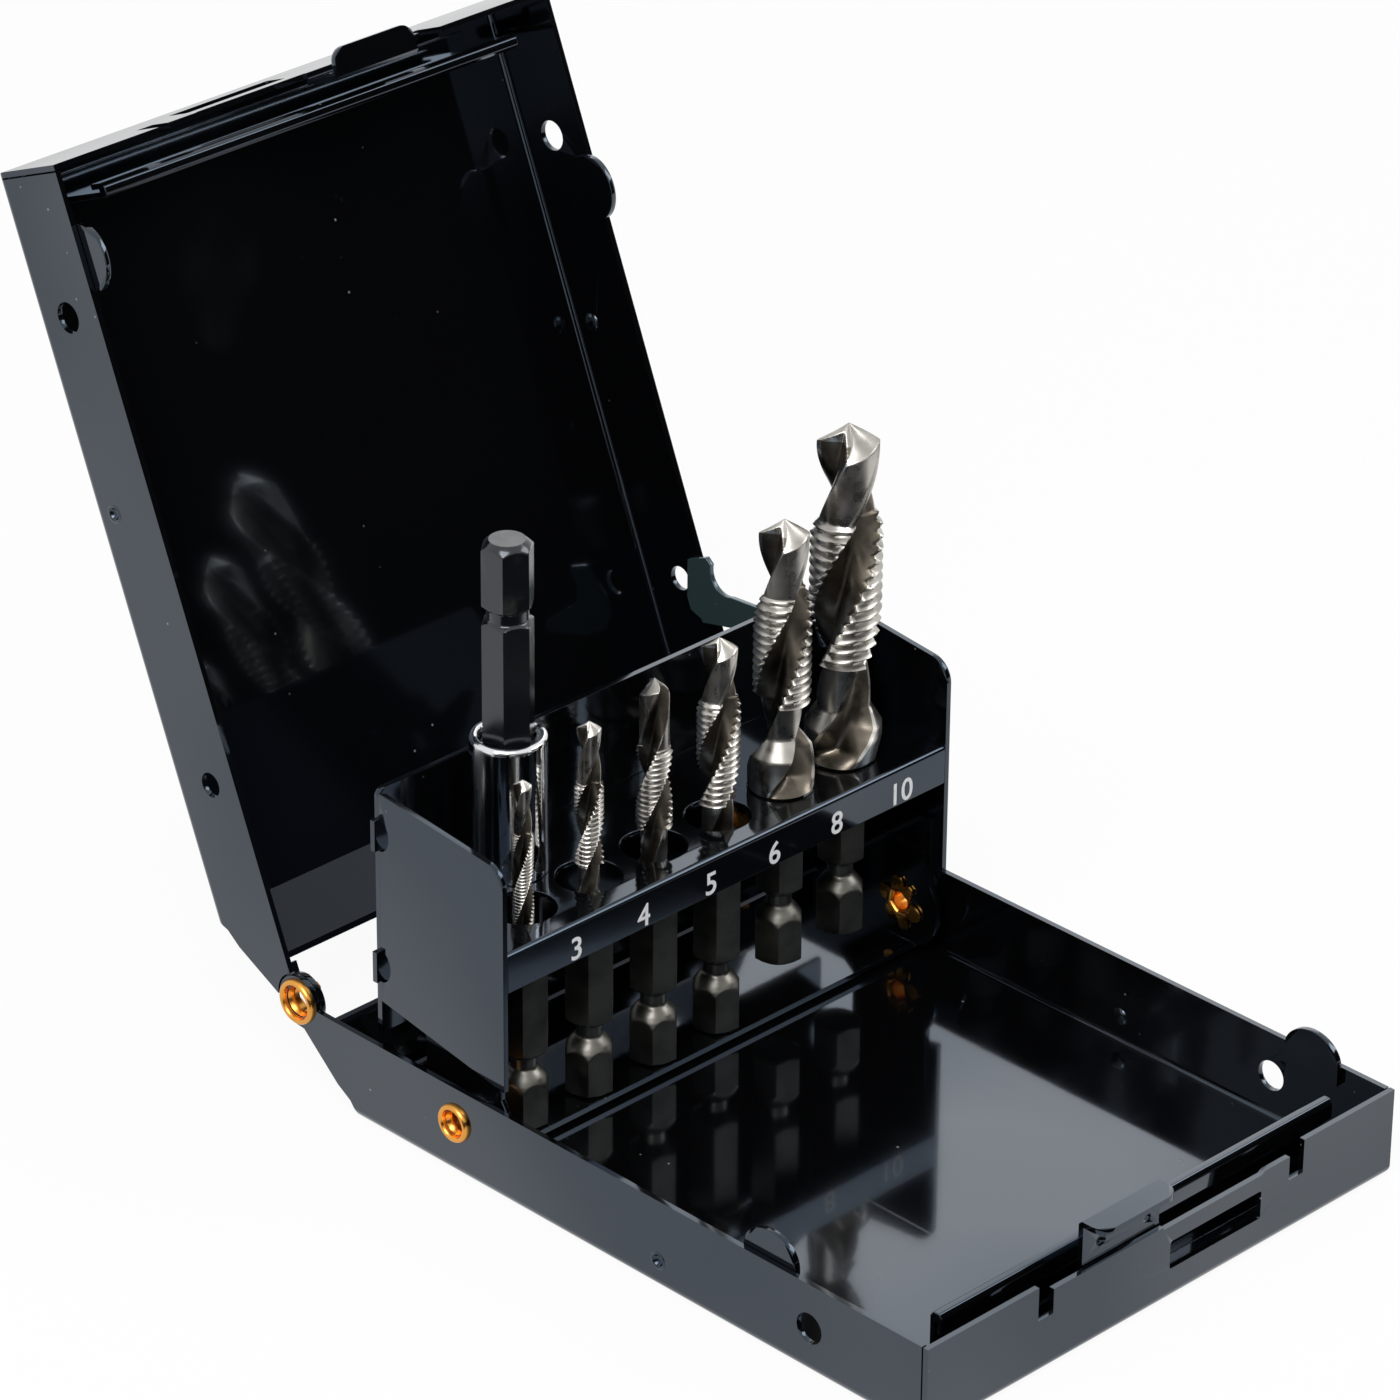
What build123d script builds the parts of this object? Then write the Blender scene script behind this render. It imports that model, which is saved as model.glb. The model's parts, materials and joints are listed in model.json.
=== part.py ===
"""Drill bit case: two matching pressed shells on a hinge, with a folding rack of tap bits."""
import os
from math import hypot, radians, tan

from build123d import *

os.makedirs("parts", exist_ok=True)

# ---------------------------------------------------------------- driving dimensions (mm)
SHEET = 0.8                      # steel sheet of both shells and the rack
LAP_GAP = 0.1                    # air between two sheets that lap each other
RUN_GAP = 0.05                   # radial clearance of every turning fit
CASE_W = 89.0                    # outside width, along the hinge
FRONT_Y = -62.5                  # outer face of the latch wall
FLOOR_REAR_Y = 42.5              # where the flat floor turns up into the rear wall
SHELL_H = 13.3                   # rim height of one shell
RIM_GAP = 0.2                    # air between the two rims when shut
MID_Z = SHELL_H + RIM_GAP / 2    # parting plane, which also holds the hinge axis
HINGE_Y = 54.5
LID_OPEN = 112.5                 # lid angle in the rest pose, degrees
BEND_OUT = 1.6                   # outside bend radius of the shell edges
SEAM = 0.25                      # open seam between neighbouring walls
RIM_RAMP = 6.0                   # where the rim starts to rise to the hinge boss
FRONT_FLANGE = 2.6               # strip of floor that the latch wall is bent up from
REAR_LEAN = 6.2                  # how far the rear wall leans out towards the hinge
REAR_LOW = 0.6                   # rear wall's edge below the rim
FORM_H = 30.0                    # height of a bent profile before it is cut to its outline
MARGIN = 2.0                     # how far a cut runs past the sheet

# hinge and rack eyelets
HINGE_BARREL_R = 2.2
HINGE_BORE_R = 1.75
HINGE_HEAD_R = 3.3
PIVOT_Y = 23.6
PIVOT_Z = 8.0
PIVOT_BARREL_R = 1.8
PIVOT_BORE_R = 1.3
PIVOT_HEAD_R = 2.8
WASHER_R = 2.6
EYELET_HEAD = 0.75
PETALS = 6

# side wall details
TAIL = [(42.5, 0.0), (44.3, 2.3), (46.8, 3.8), (53.4, 9.6)]
BOSS_R = 3.7                     # rounded end of the wall round the hinge axis
BOSS_CLEAR = 0.3                 # round the other shell's boss
BOSS_STEP = 1.6                  # width of the step that sets one boss in by a sheet
BOSS_OVERLAP = 0.4
EAR_HALF = 4.65
EAR_RISE = 3.9
EAR_ROOT = 2.6                   # how far the ear's plate reaches below the rim
EAR_BEND = 1.6                   # height of the bend that joins it to the wall
EAR_LEFT_Y = -34.0
EAR_RIGHT_Y = -49.4
BIG_HOLE = (-42.0, 6.8, 2.2)
SMALL_HOLE = (-14.8, 4.3, 0.9)

# latch wall details
NOTCH_W = 2.8
NOTCH_FOOT_Z = 8.3
NOTCH_LEFT_X = -22.9
NOTCH_RIGHT_X = 25.0
LATCH_EDGE_Z = 11.9
SLOT_EDGE_Z = 11.5
TONGUE_X0, TONGUE_X1 = -15.4, -0.9
SLOT_X0, SLOT_X1 = 0.6, 18.2
SLOT_Z0, SLOT_Z1 = 4.9, 9.1
LATCH_PLAY = 0.15                # lip above the edge of the other shell's slot
TONGUE_TOP_Z = 2 * MID_Z - SLOT_Z1 + LATCH_PLAY + SHEET
LIP_OUT = 2.6                    # how far the tongue's lip stands out of the wall
LIP_CORNER = 2.2
LIP_BEND = 0.5
STEP_TOP = 0.6                   # the tongue's inward step, from this far over the latch edge
STEP_FOOT = 1.0                  # to this far under it
DIMPLE = (-11.9, 14.6, 1.0)      # x, z, radius
TONGUE_HOLE = (-3.2, 14.0, 0.7)

# lug on the lid, drawn with the case shut
LUG_CLEAR = 0.5                  # to the washer it passes
LUG_W = 4.4
LUG_FOOT = 0.8                   # above the base's floor
LUG_RISE = 3.9                   # past the parting plane, on the lid's side
LUG_HEAD = 6.1                   # how far its head reaches forward, over the washer
LUG_SLOPE = 2.3                  # fall of the head's free edge over that reach
LUG_PAD_H = 1.5                  # the pad that joins it to the lid's wall
LUG_PAD_Z = 1.45                 # the pad's middle, past the parting plane

# inner rib
RIB_Y = -56.0
RIB_SHORT = 6.4                  # rib's end to the inside of the side wall
RIB_TOP_Z = 12.9
RIB_FOOT = 3.6
RIB_LIP = 2.0                    # folded top edge: width and height
RIB_LIP_H = 3.0
RIB_SOFT = 0.7

# rack, drawn upright about its pivot
RACK_SIDE_GAP = 1.7              # between a cheek and the shell's wall
SWING_R = 6.9                    # everything below the pivot stays inside this radius
RACK_REACH = 17.6                # from the pivot back to the back plate's rear face
CHEEK_H_FRONT = 39.6             # cheek's corners above the pivot
CHEEK_H_REAR = 42.0
CHEEK_FOOT_H_FRONT = 6.5
CHEEK_FOOT_H_REAR = 10.6
RACK_FRONT = PIVOT_Y - SWING_R
RACK_BACK = PIVOT_Y + RACK_REACH
CHEEK_TOP_FRONT = PIVOT_Z + CHEEK_H_FRONT
CHEEK_TOP_REAR = PIVOT_Z + CHEEK_H_REAR
CHEEK_FOOT_FRONT = PIVOT_Z + CHEEK_FOOT_H_FRONT
CHEEK_FOOT_REAR = PIVOT_Z + CHEEK_FOOT_H_REAR
CHEEK_R = 3.4
BACK_PROUD = 0.4                 # back plate's top over the cheeks' rear corners
BACK_FOOT_H = 5.6
BACK_TOP = CHEEK_TOP_REAR + BACK_PROUD
BACK_FOOT = PIVOT_Z + BACK_FOOT_H
TAB_H = 4.6
LOW_TAB_UP = 10.2                # tab's middle above the back plate's foot
HIGH_TAB_DOWN = 6.7              # tab's middle below the back plate's top
TAB_Z = [BACK_FOOT + LOW_TAB_UP, BACK_TOP - HIGH_TAB_DOWN]
TAB_OUT = 0.8
SHELF_H = 27.0
SHELF_TOP = PIVOT_Z + SHELF_H
LABEL_LIP = 5.8
TRAY_DROP = 5.7
TRAY_TOE = 2.6
TRAY_TOP = PIVOT_Z - TRAY_DROP
TRAY_FRONT = PIVOT_Y - TRAY_TOE
TRAY_REAR_RISE = 3.7
TAB_NOTCH = 1.8                  # relief in a cheek in front of a tab
FLANGE_FRONT = 5.4               # tray's end flange: reach forward of the pivot
FLANGE_TOE = 3.0
FLANGE_BACK = 9.0
FLANGE_STEP = 4.0
FLANGE_H = 15.0
HOLE_R = 4.55                    # punched holes of the top shelf
ROW_BACK = 1.0                   # row of bits behind the pivot
HOLDER_BACK = 10.0
ROW_Y = PIVOT_Y + ROW_BACK
HOLDER_X = -25.0
HOLDER_Y = PIVOT_Y + HOLDER_BACK

# quarter inch hex drive
HEX_AF = 6.35
GROOVE_R = 2.85
HEX_OUT = 5.2                    # any radius outside the hex corners
BIT_HEX_LEN = 25.5
BIT_CHAMFER = (2.6, 1.2)         # radius at the end face, and rise out to HEX_OUT
BIT_GROOVE = [(9.0, HEX_OUT), (9.6, 3.6), (10.4, GROOVE_R), (12.2, GROOVE_R), (12.9, HEX_OUT)]
HOLDER_GROOVE = [(9.0, HEX_OUT), (9.8, GROOVE_R), (11.4, GROOVE_R), (12.2, HEX_OUT)]
COLLAR_H = 2.2
CONE_H = 6.0
NECK_SLIM = 0.1                  # neck radius under the tapping drill's
FLUTE_OUT = 0.42                 # of the drill's diameter, out from the axis
FLUTE_R = 0.26                   # of the drill's diameter
FLUTE_TURN = 40

SEAT_OVER_PIVOT = 0.3            # foot of the two largest bits
LARGE_FOOT = PIVOT_Z + SEAT_OVER_PIVOT

# tap bits: x, thread diameter, drill diameter, tip z, drill length, thread length, foot z, collar diameter
TAPS = {
    "m3": (-31.0, 3.0, 2.5, 54.1, 7.8, 13.8, TRAY_TOP, 6.0),
    "m4": (-19.0, 4.0, 3.3, 58.3, 9.9, 12.5, TRAY_TOP, 6.6),
    "m5": (-7.0, 5.0, 4.2, 60.3, 10.2, 14.0, TRAY_TOP, 7.4),
    "m6": (5.0, 6.0, 5.0, 62.0, 10.7, 15.0, TRAY_TOP, 8.2),
    "m8": (17.0, 8.0, 6.8, 75.4, 12.9, 17.2, LARGE_FOOT, 10.4),
    "m10": (29.0, 10.0, 8.5, 85.6, 16.1, 21.9, LARGE_FOOT, 12.0),
}
POINT_ANGLE = 118.0

# bit holder
HOLDER_TOP_Z = 83.8
SLEEVE_TOP_Z = 55.2
SLEEVE_R = 5.25
SLEEVE_BORE_R = 4.45
SLEEVE_SEAT_H = 6.0              # height over which the sleeve grips the body
SLEEVE_DROP = 3.0                # body's top below the sleeve's rim
HOLDER_CHAMFER = (2.5, 1.3)
RING_W = 0.7
RING_GAP = 2.4
HOLDER_BODY_R = 4.3
HOLDER_FOOT_Z = 24.0
SOCKET_AF = HEX_AF + 0.15
SOCKET_DEPTH = 10.0
MAGNET_R = 2.4
MAGNET_H = 4.0

HALF_W = CASE_W / 2
WALL_IN = HALF_W - SHEET
LAP_OUT = WALL_IN - LAP_GAP      # outer face of a joggled sheet
LAP_IN = LAP_OUT - SHEET
RIB_HALF = WALL_IN - RIB_SHORT
RACK_HALF = WALL_IN - RACK_SIDE_GAP
CHEEK_IN = RACK_HALF - SHEET
FLANGE_IN = CHEEK_IN - SHEET

SHUT = Location((0, 0, 2 * MID_Z), (0, 180, 0))
SWING = (
    Location((0, HINGE_Y, MID_Z))
    * Location((0, 0, 0), (-LID_OPEN, 0, 0))
    * Location((0, -HINGE_Y, -MID_Z))
)
OPEN = SWING * SHUT


def stamping():
    """One shell lying open side up. The lid is the same stamping, turned over."""
    side_outline = [
        (FRONT_Y + SHEET + SEAM, 0.0),
        *TAIL,
        (HINGE_Y, MID_Z - BOSS_R),
        (HINGE_Y, MID_Z),
        (HINGE_Y - RIM_RAMP, SHELL_H),
        (FRONT_Y + SHEET + SEAM, SHELL_H),
    ]
    side_rear = HINGE_Y + BOSS_R + MARGIN
    with BuildPart() as sides:
        with BuildSketch(Plane.XZ.offset(-side_rear)):
            with Locations((0, FORM_H / 2)):
                RectangleRounded(CASE_W, FORM_H, BEND_OUT)
            with Locations((0, FORM_H / 2 + SHEET)):
                RectangleRounded(CASE_W - 2 * SHEET, FORM_H, BEND_OUT - SHEET, mode=Mode.SUBTRACT)
            with Locations((0, FORM_H)):
                Rectangle(CASE_W + MARGIN, FORM_H / 2, mode=Mode.SUBTRACT)
        extrude(amount=side_rear - FRONT_Y)
        with BuildSketch(Plane.YZ):
            with BuildLine():
                Polyline(*side_outline, close=True)
            make_face()
            with Locations((HINGE_Y, MID_Z)):
                Circle(BOSS_R)
        extrude(amount=HALF_W + MARGIN, both=True, mode=Mode.INTERSECT)
        with Locations((0, FLOOR_REAR_Y + FORM_H / 2, 0)):
            Box(2 * WALL_IN, FORM_H, 2 * FORM_H, mode=Mode.SUBTRACT)

    with BuildPart() as front:
        with BuildSketch(Plane.YZ):
            with Locations((FRONT_Y + FORM_H / 2, FORM_H / 2)):
                RectangleRounded(FORM_H, FORM_H, BEND_OUT)
            with Locations((FRONT_Y + FORM_H / 2 + SHEET, FORM_H / 2 + SHEET)):
                RectangleRounded(FORM_H, FORM_H, BEND_OUT - SHEET, mode=Mode.SUBTRACT)
            with Locations((FRONT_Y + FRONT_FLANGE, -MARGIN)):
                Rectangle(
                    FORM_H, FORM_H + 2 * MARGIN, align=(Align.MIN, Align.MIN), mode=Mode.SUBTRACT
                )
            with Locations((FRONT_Y, SHELL_H)):
                Rectangle(
                    2 * FORM_H, FORM_H, align=(Align.CENTER, Align.MIN), mode=Mode.SUBTRACT
                )
        extrude(amount=HALF_W, both=True)
        with BuildSketch(Plane.XZ.offset(-(FRONT_Y + FRONT_FLANGE + MARGIN))):
            with Locations((0, FORM_H / 2)):
                RectangleRounded(CASE_W, FORM_H, BEND_OUT)
        extrude(amount=FRONT_FLANGE + 2 * MARGIN, mode=Mode.INTERSECT)
        for notch_x in (NOTCH_LEFT_X, NOTCH_RIGHT_X):
            with Locations((notch_x, FRONT_Y + SHEET / 2, NOTCH_FOOT_Z)):
                Box(
                    NOTCH_W,
                    SHEET + MARGIN,
                    SHELL_H,
                    align=(Align.CENTER, Align.CENTER, Align.MIN),
                    mode=Mode.SUBTRACT,
                )
        punch_y = FRONT_Y + SHEET + MARGIN
        with BuildSketch(Plane.XZ.offset(-punch_y)):
            with BuildLine():
                Polyline(
                    (NOTCH_LEFT_X, LATCH_EDGE_Z),
                    (TONGUE_X1, LATCH_EDGE_Z),
                    (TONGUE_X1, SLOT_EDGE_Z),
                    (SLOT_X1, SLOT_EDGE_Z),
                    (SLOT_X1 + 0.6, LATCH_EDGE_Z),
                    (NOTCH_RIGHT_X, LATCH_EDGE_Z),
                    (NOTCH_RIGHT_X, SHELL_H + MARGIN),
                    (NOTCH_LEFT_X, SHELL_H + MARGIN),
                    close=True,
                )
            make_face()
        extrude(amount=SHEET + 2 * MARGIN, mode=Mode.SUBTRACT)
        with BuildSketch(Plane.XZ.offset(-punch_y)):
            with Locations(((SLOT_X0 + SLOT_X1) / 2, (SLOT_Z0 + SLOT_Z1) / 2)):
                RectangleRounded(SLOT_X1 - SLOT_X0, SLOT_Z1 - SLOT_Z0, 0.4)
        extrude(amount=SHEET + 2 * MARGIN, mode=Mode.SUBTRACT)

    tongue_in = FRONT_Y + 2 * SHEET + LAP_GAP
    rear_top = SHELL_H - REAR_LOW
    rear_across = SHEET * hypot(REAR_LEAN, rear_top) / rear_top
    with BuildPart() as tongue:
        with BuildSketch(Plane.YZ.offset(TONGUE_X0)):
            with BuildLine():
                Polyline(
                    (FRONT_Y + SHEET / 2, LATCH_EDGE_Z - STEP_FOOT),
                    (FRONT_Y + SHEET + LAP_GAP, LATCH_EDGE_Z + STEP_TOP),
                    (FRONT_Y + SHEET + LAP_GAP, TONGUE_TOP_Z - SHEET),
                    (FRONT_Y - LIP_OUT, TONGUE_TOP_Z - SHEET),
                    (FRONT_Y - LIP_OUT, TONGUE_TOP_Z),
                    (tongue_in - LIP_BEND, TONGUE_TOP_Z),
                    (tongue_in, TONGUE_TOP_Z - LIP_BEND),
                    (tongue_in, LATCH_EDGE_Z + STEP_TOP - SHEET),
                    (FRONT_Y + SHEET, LATCH_EDGE_Z - STEP_FOOT - STEP_TOP),
                    close=True,
                )
            make_face()
        extrude(amount=TONGUE_X1 - TONGUE_X0)
        lip_corners = tongue.edges().filter_by(Axis.Z).group_by(Axis.Y)[0]
        fillet(lip_corners, LIP_CORNER)
        with Locations((DIMPLE[0], FRONT_Y + SHEET + LAP_GAP - SHEET / 2, DIMPLE[1])):
            Sphere(DIMPLE[2], mode=Mode.SUBTRACT)
        with Locations(Location((TONGUE_HOLE[0], tongue_in, TONGUE_HOLE[1]), (90, 0, 0))):
            Cylinder(TONGUE_HOLE[2], 2 * MARGIN, mode=Mode.SUBTRACT)

    with BuildPart() as shell:
        add(sides.part)
        add(front.part)
        add(tongue.part)
        with BuildSketch(Plane.YZ):
            with BuildLine():
                Polyline(
                    (FLOOR_REAR_Y - SHEET, 0),
                    (FLOOR_REAR_Y, 0),
                    (FLOOR_REAR_Y + REAR_LEAN, rear_top),
                    (FLOOR_REAR_Y + REAR_LEAN - rear_across, rear_top),
                    (FLOOR_REAR_Y + REAR_LEAN * SHEET / rear_top - rear_across, SHEET),
                    (FLOOR_REAR_Y - SHEET, SHEET),
                    close=True,
                )
            make_face()
        extrude(amount=WALL_IN - SEAM, both=True)
        for side, ear_y in ((-1, EAR_LEFT_Y), (1, EAR_RIGHT_Y)):
            with BuildSketch(Plane.YZ.offset(side * LAP_IN)):
                with Locations((ear_y, SHELL_H - EAR_ROOT / 2)):
                    Rectangle(2 * EAR_HALF, EAR_ROOT)
                with Locations((ear_y, SHELL_H)):
                    Ellipse(EAR_HALF, EAR_RISE)
                with Locations((ear_y, SHELL_H - EAR_ROOT - EAR_RISE)):
                    Rectangle(3 * EAR_HALF, 2 * EAR_RISE, mode=Mode.SUBTRACT)
            extrude(amount=side * SHEET)
            bend_w = HALF_W - SHEET / 2 - LAP_IN
            with Locations((side * (LAP_IN + bend_w / 2), ear_y, SHELL_H - EAR_ROOT + EAR_BEND / 2)):
                Box(bend_w, 2 * EAR_HALF, EAR_BEND)
        hinge_right = Location((LAP_IN, HINGE_Y, MID_Z), (0, 90, 0))
        with Locations(Location((HALF_W, HINGE_Y, MID_Z), (0, 90, 0))):
            Cylinder(BOSS_R + BOSS_CLEAR, 2 * SHEET, mode=Mode.SUBTRACT)
        with Locations(hinge_right):
            Cylinder(BOSS_R, SHEET, align=(Align.CENTER, Align.CENTER, Align.MIN))
        with BuildSketch(Plane.YZ.offset(LAP_IN)):
            with Locations((HINGE_Y, MID_Z)):
                Circle(BOSS_R + BOSS_STEP)
                Circle(BOSS_R - BOSS_OVERLAP, mode=Mode.SUBTRACT)
            with BuildLine():
                Polyline(*side_outline, close=True)
            make_face(mode=Mode.INTERSECT)
        extrude(amount=SHEET)
        with BuildSketch(Plane.YZ.offset(LAP_IN)):
            with Locations((HINGE_Y, MID_Z)):
                Circle(BOSS_R + BOSS_STEP)
                Circle(BOSS_R + BOSS_CLEAR, mode=Mode.SUBTRACT)
            with BuildLine():
                Polyline(*side_outline, close=True)
            make_face(mode=Mode.INTERSECT)
        extrude(amount=HALF_W - LAP_IN - SHEET / 2)
    return shell


def bore_walls(shell, hinge_left_r, hinge_right_r):
    """The holes through both side walls."""
    for side, hinge_r in ((-1, hinge_left_r), (1, hinge_right_r)):
        for hole_y, hole_z, hole_r in (
            (HINGE_Y, MID_Z, hinge_r),
            (PIVOT_Y, PIVOT_Z, PIVOT_BARREL_R),
            BIG_HOLE,
            SMALL_HOLE,
        ):
            with Locations(Location((side * HALF_W, hole_y, hole_z), (0, 90, 0))):
                Cylinder(hole_r, 2 * (SHEET + MARGIN), mode=Mode.SUBTRACT)


blank = stamping()

with BuildPart() as base_shell:
    add(blank.part)
    bore_walls(base_shell, HINGE_BARREL_R, HINGE_BARREL_R)
base_shell.part.label = "base_shell"
export_step(base_shell.part, "parts/base_shell.step")

with BuildPart() as lid_blank:
    add(blank.part)
    bore_walls(lid_blank, HINGE_BARREL_R + RUN_GAP, HINGE_BARREL_R + RUN_GAP)

with BuildPart() as lid_shell:
    with Locations(OPEN):
        add(lid_blank.part)
lid_shell.part.label = "lid_shell"
export_step(lid_shell.part, "parts/lid_shell.step")

with BuildPart() as base_rib:
    with BuildSketch(Plane.YZ):
        with BuildLine():
            Polyline(
                (RIB_Y, SHEET),
                (RIB_Y, RIB_TOP_Z - RIB_SOFT),
                (RIB_Y - RIB_LIP / 4, RIB_TOP_Z),
                (RIB_Y - 3 * RIB_LIP / 4, RIB_TOP_Z),
                (RIB_Y - RIB_LIP, RIB_TOP_Z - RIB_SOFT),
                (RIB_Y - RIB_LIP, RIB_TOP_Z - RIB_LIP_H),
                (RIB_Y - RIB_LIP + SHEET, RIB_TOP_Z - RIB_LIP_H),
                (RIB_Y - RIB_LIP + SHEET, RIB_TOP_Z - 2 * RIB_SOFT),
                (RIB_Y - SHEET, RIB_TOP_Z - 2 * RIB_SOFT),
                (RIB_Y - SHEET, 2 * SHEET),
                (RIB_Y - RIB_FOOT, 2 * SHEET),
                (RIB_Y - RIB_FOOT, SHEET),
                close=True,
            )
        make_face()
    extrude(amount=RIB_HALF, both=True)
base_rib.part.label = "base_rib"
export_step(base_rib.part, "parts/base_rib.step")

with BuildPart() as lid_rib:
    with Locations(OPEN):
        add(base_rib.part)
lid_rib.part.label = "lid_rib"
export_step(lid_rib.part, "parts/lid_rib.step")

with BuildPart() as lug_shut:
    lug_y = PIVOT_Y + WASHER_R + LUG_CLEAR
    lug_top = MID_Z + LUG_RISE
    lug_foot = SHEET + LUG_FOOT
    with BuildSketch(Plane.YZ.offset(LAP_IN)):
        with BuildLine():
            Polyline(
                (lug_y - LUG_HEAD, lug_top - LUG_SLOPE),
                (lug_y - LUG_HEAD, PIVOT_Z + WASHER_R + LUG_CLEAR),
                (lug_y, PIVOT_Z),
                (lug_y + 1.9, lug_foot + 0.8),
                (lug_y + 2.7, lug_foot),
                (lug_y + 3.6, lug_foot + 0.4),
                (lug_y + LUG_W, PIVOT_Z + 1.8),
                (lug_y + LUG_W - 0.9, MID_Z + LUG_PAD_Z),
                (lug_y + 1.4, lug_top),
                (lug_y - 0.6, lug_top),
                close=True,
            )
        make_face()
        with Locations((PIVOT_Y, PIVOT_Z)):
            Circle(WASHER_R + LUG_CLEAR, mode=Mode.SUBTRACT)
    extrude(amount=SHEET)
    with BuildSketch(Plane.YZ.offset(LAP_IN)):
        with Locations((lug_y + LUG_W / 2, MID_Z + LUG_PAD_Z)):
            Rectangle(LUG_W - 1.8, LUG_PAD_H)
    extrude(amount=SHEET + LAP_GAP)

with BuildPart() as lid_lug:
    with Locations(SWING):
        add(lug_shut.part)
lid_lug.part.label = "lid_lug"
export_step(lid_lug.part, "parts/lid_lug.step")


def eyelet(barrel_r, bore_r, head_r, grip):
    """A rolled eyelet along +X: the outer face of the wall is at 0, the head outside, petals at -grip."""
    with BuildPart() as body:
        with BuildSketch(Plane.XY):
            with BuildLine():
                Polyline(
                    (-grip - 0.3, bore_r),
                    (-grip - 0.3, barrel_r),
                    (0.0, barrel_r),
                    (0.0, head_r),
                    (0.35, head_r),
                    (EYELET_HEAD, head_r - 0.55),
                    (EYELET_HEAD, bore_r + 0.45),
                    (EYELET_HEAD - 0.4, bore_r),
                    close=True,
                )
            make_face()
        revolve(axis=Axis.X)
        for step in range(PETALS):
            with BuildSketch(Plane.YZ.offset(-grip)):
                with Locations(Location((0, 0, 0), (0, 0, 360 / PETALS * step))):
                    with Locations((barrel_r + 0.25, 0)):
                        Rectangle(1.7, 0.9 + 0.3 * bore_r)
                Circle(bore_r, mode=Mode.SUBTRACT)
            extrude(amount=-0.5)
    return body


hinge_eyelet = eyelet(HINGE_BARREL_R, HINGE_BORE_R, HINGE_HEAD_R, HALF_W - LAP_IN + RUN_GAP)
with BuildPart() as hinge_eyelets:
    with Locations(Location((HALF_W, HINGE_Y, MID_Z))):
        add(hinge_eyelet.part)
    with Locations(Location((-HALF_W, HINGE_Y, MID_Z), (0, 0, 180))):
        add(hinge_eyelet.part)
hinge_eyelets.part.label = "hinge_eyelets"
export_step(hinge_eyelets.part, "parts/hinge_eyelets.step")

pivot_eyelet = eyelet(PIVOT_BARREL_R, PIVOT_BORE_R, PIVOT_HEAD_R, HALF_W - FLANGE_IN + RUN_GAP)
with BuildPart() as pivot_eyelets:
    with Locations(Location((HALF_W, PIVOT_Y, PIVOT_Z))):
        add(pivot_eyelet.part)
    with Locations(Location((-HALF_W, PIVOT_Y, PIVOT_Z), (0, 0, 180))):
        add(pivot_eyelet.part)
pivot_eyelets.part.label = "pivot_eyelets"
export_step(pivot_eyelets.part, "parts/pivot_eyelets.step")

with BuildPart() as pivot_washers:
    washer_len = WALL_IN - CHEEK_IN - RUN_GAP
    for side in (-1, 1):
        with Locations(Location((side * (WALL_IN - washer_len / 2), PIVOT_Y, PIVOT_Z), (0, 90, 0))):
            Cylinder(WASHER_R, washer_len)
            Cylinder(PIVOT_BARREL_R, washer_len, mode=Mode.SUBTRACT)
pivot_washers.part.label = "pivot_washers"
export_step(pivot_washers.part, "parts/pivot_washers.step")


def cheek(side):
    """One end plate of the rack, with notches at its back edge for the tabs of the back plate."""
    with BuildPart() as plate:
        with BuildSketch(Plane.YZ.offset(side * CHEEK_IN)):
            with BuildLine():
                Polyline(
                    (RACK_FRONT, CHEEK_FOOT_FRONT),
                    (RACK_BACK, CHEEK_FOOT_REAR),
                    (RACK_BACK, CHEEK_TOP_REAR),
                    (RACK_FRONT, CHEEK_TOP_FRONT),
                    close=True,
                )
            make_face()
            front_top = vertices().sort_by(Axis.X)[:2].sort_by(Axis.Y)[-1]
            fillet(front_top, CHEEK_R)
            for tab_z in TAB_Z:
                with Locations((RACK_BACK - SHEET, tab_z)):
                    Ellipse(TAB_NOTCH, TAB_H / 2 + LAP_GAP, mode=Mode.SUBTRACT)
                with Locations((RACK_BACK, tab_z)):
                    Rectangle(2 * SHEET, TAB_H, mode=Mode.SUBTRACT)
        extrude(amount=side * SHEET)
        with Locations((side * (CHEEK_IN + SHEET / 2), RACK_BACK - SHEET / 2, CHEEK_TOP_REAR / 2)):
            Box(SHEET, SHEET, 2 * CHEEK_TOP_REAR, mode=Mode.SUBTRACT)
    return plate


rack_cheek_left = cheek(-1)
rack_cheek_left.part.label = "rack_cheek_left"
export_step(rack_cheek_left.part, "parts/rack_cheek_left.step")

rack_cheek_right = cheek(1)
rack_cheek_right.part.label = "rack_cheek_right"
export_step(rack_cheek_right.part, "parts/rack_cheek_right.step")

with BuildPart() as rack_back:
    with Locations((0, RACK_BACK - SHEET / 2, (BACK_TOP + BACK_FOOT) / 2)):
        Box(2 * RACK_HALF, SHEET, BACK_TOP - BACK_FOOT)
    for tab_z in TAB_Z:
        with Locations((0, RACK_BACK - SHEET / 2, tab_z)):
            Box(2 * (RACK_HALF + TAB_OUT), SHEET, TAB_H)
    fillet(rack_back.edges().filter_by(Axis.Y).group_by(Axis.Z)[-1], 1.2)
rack_back.part.label = "rack_back"
export_step(rack_back.part, "parts/rack_back.step")

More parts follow.
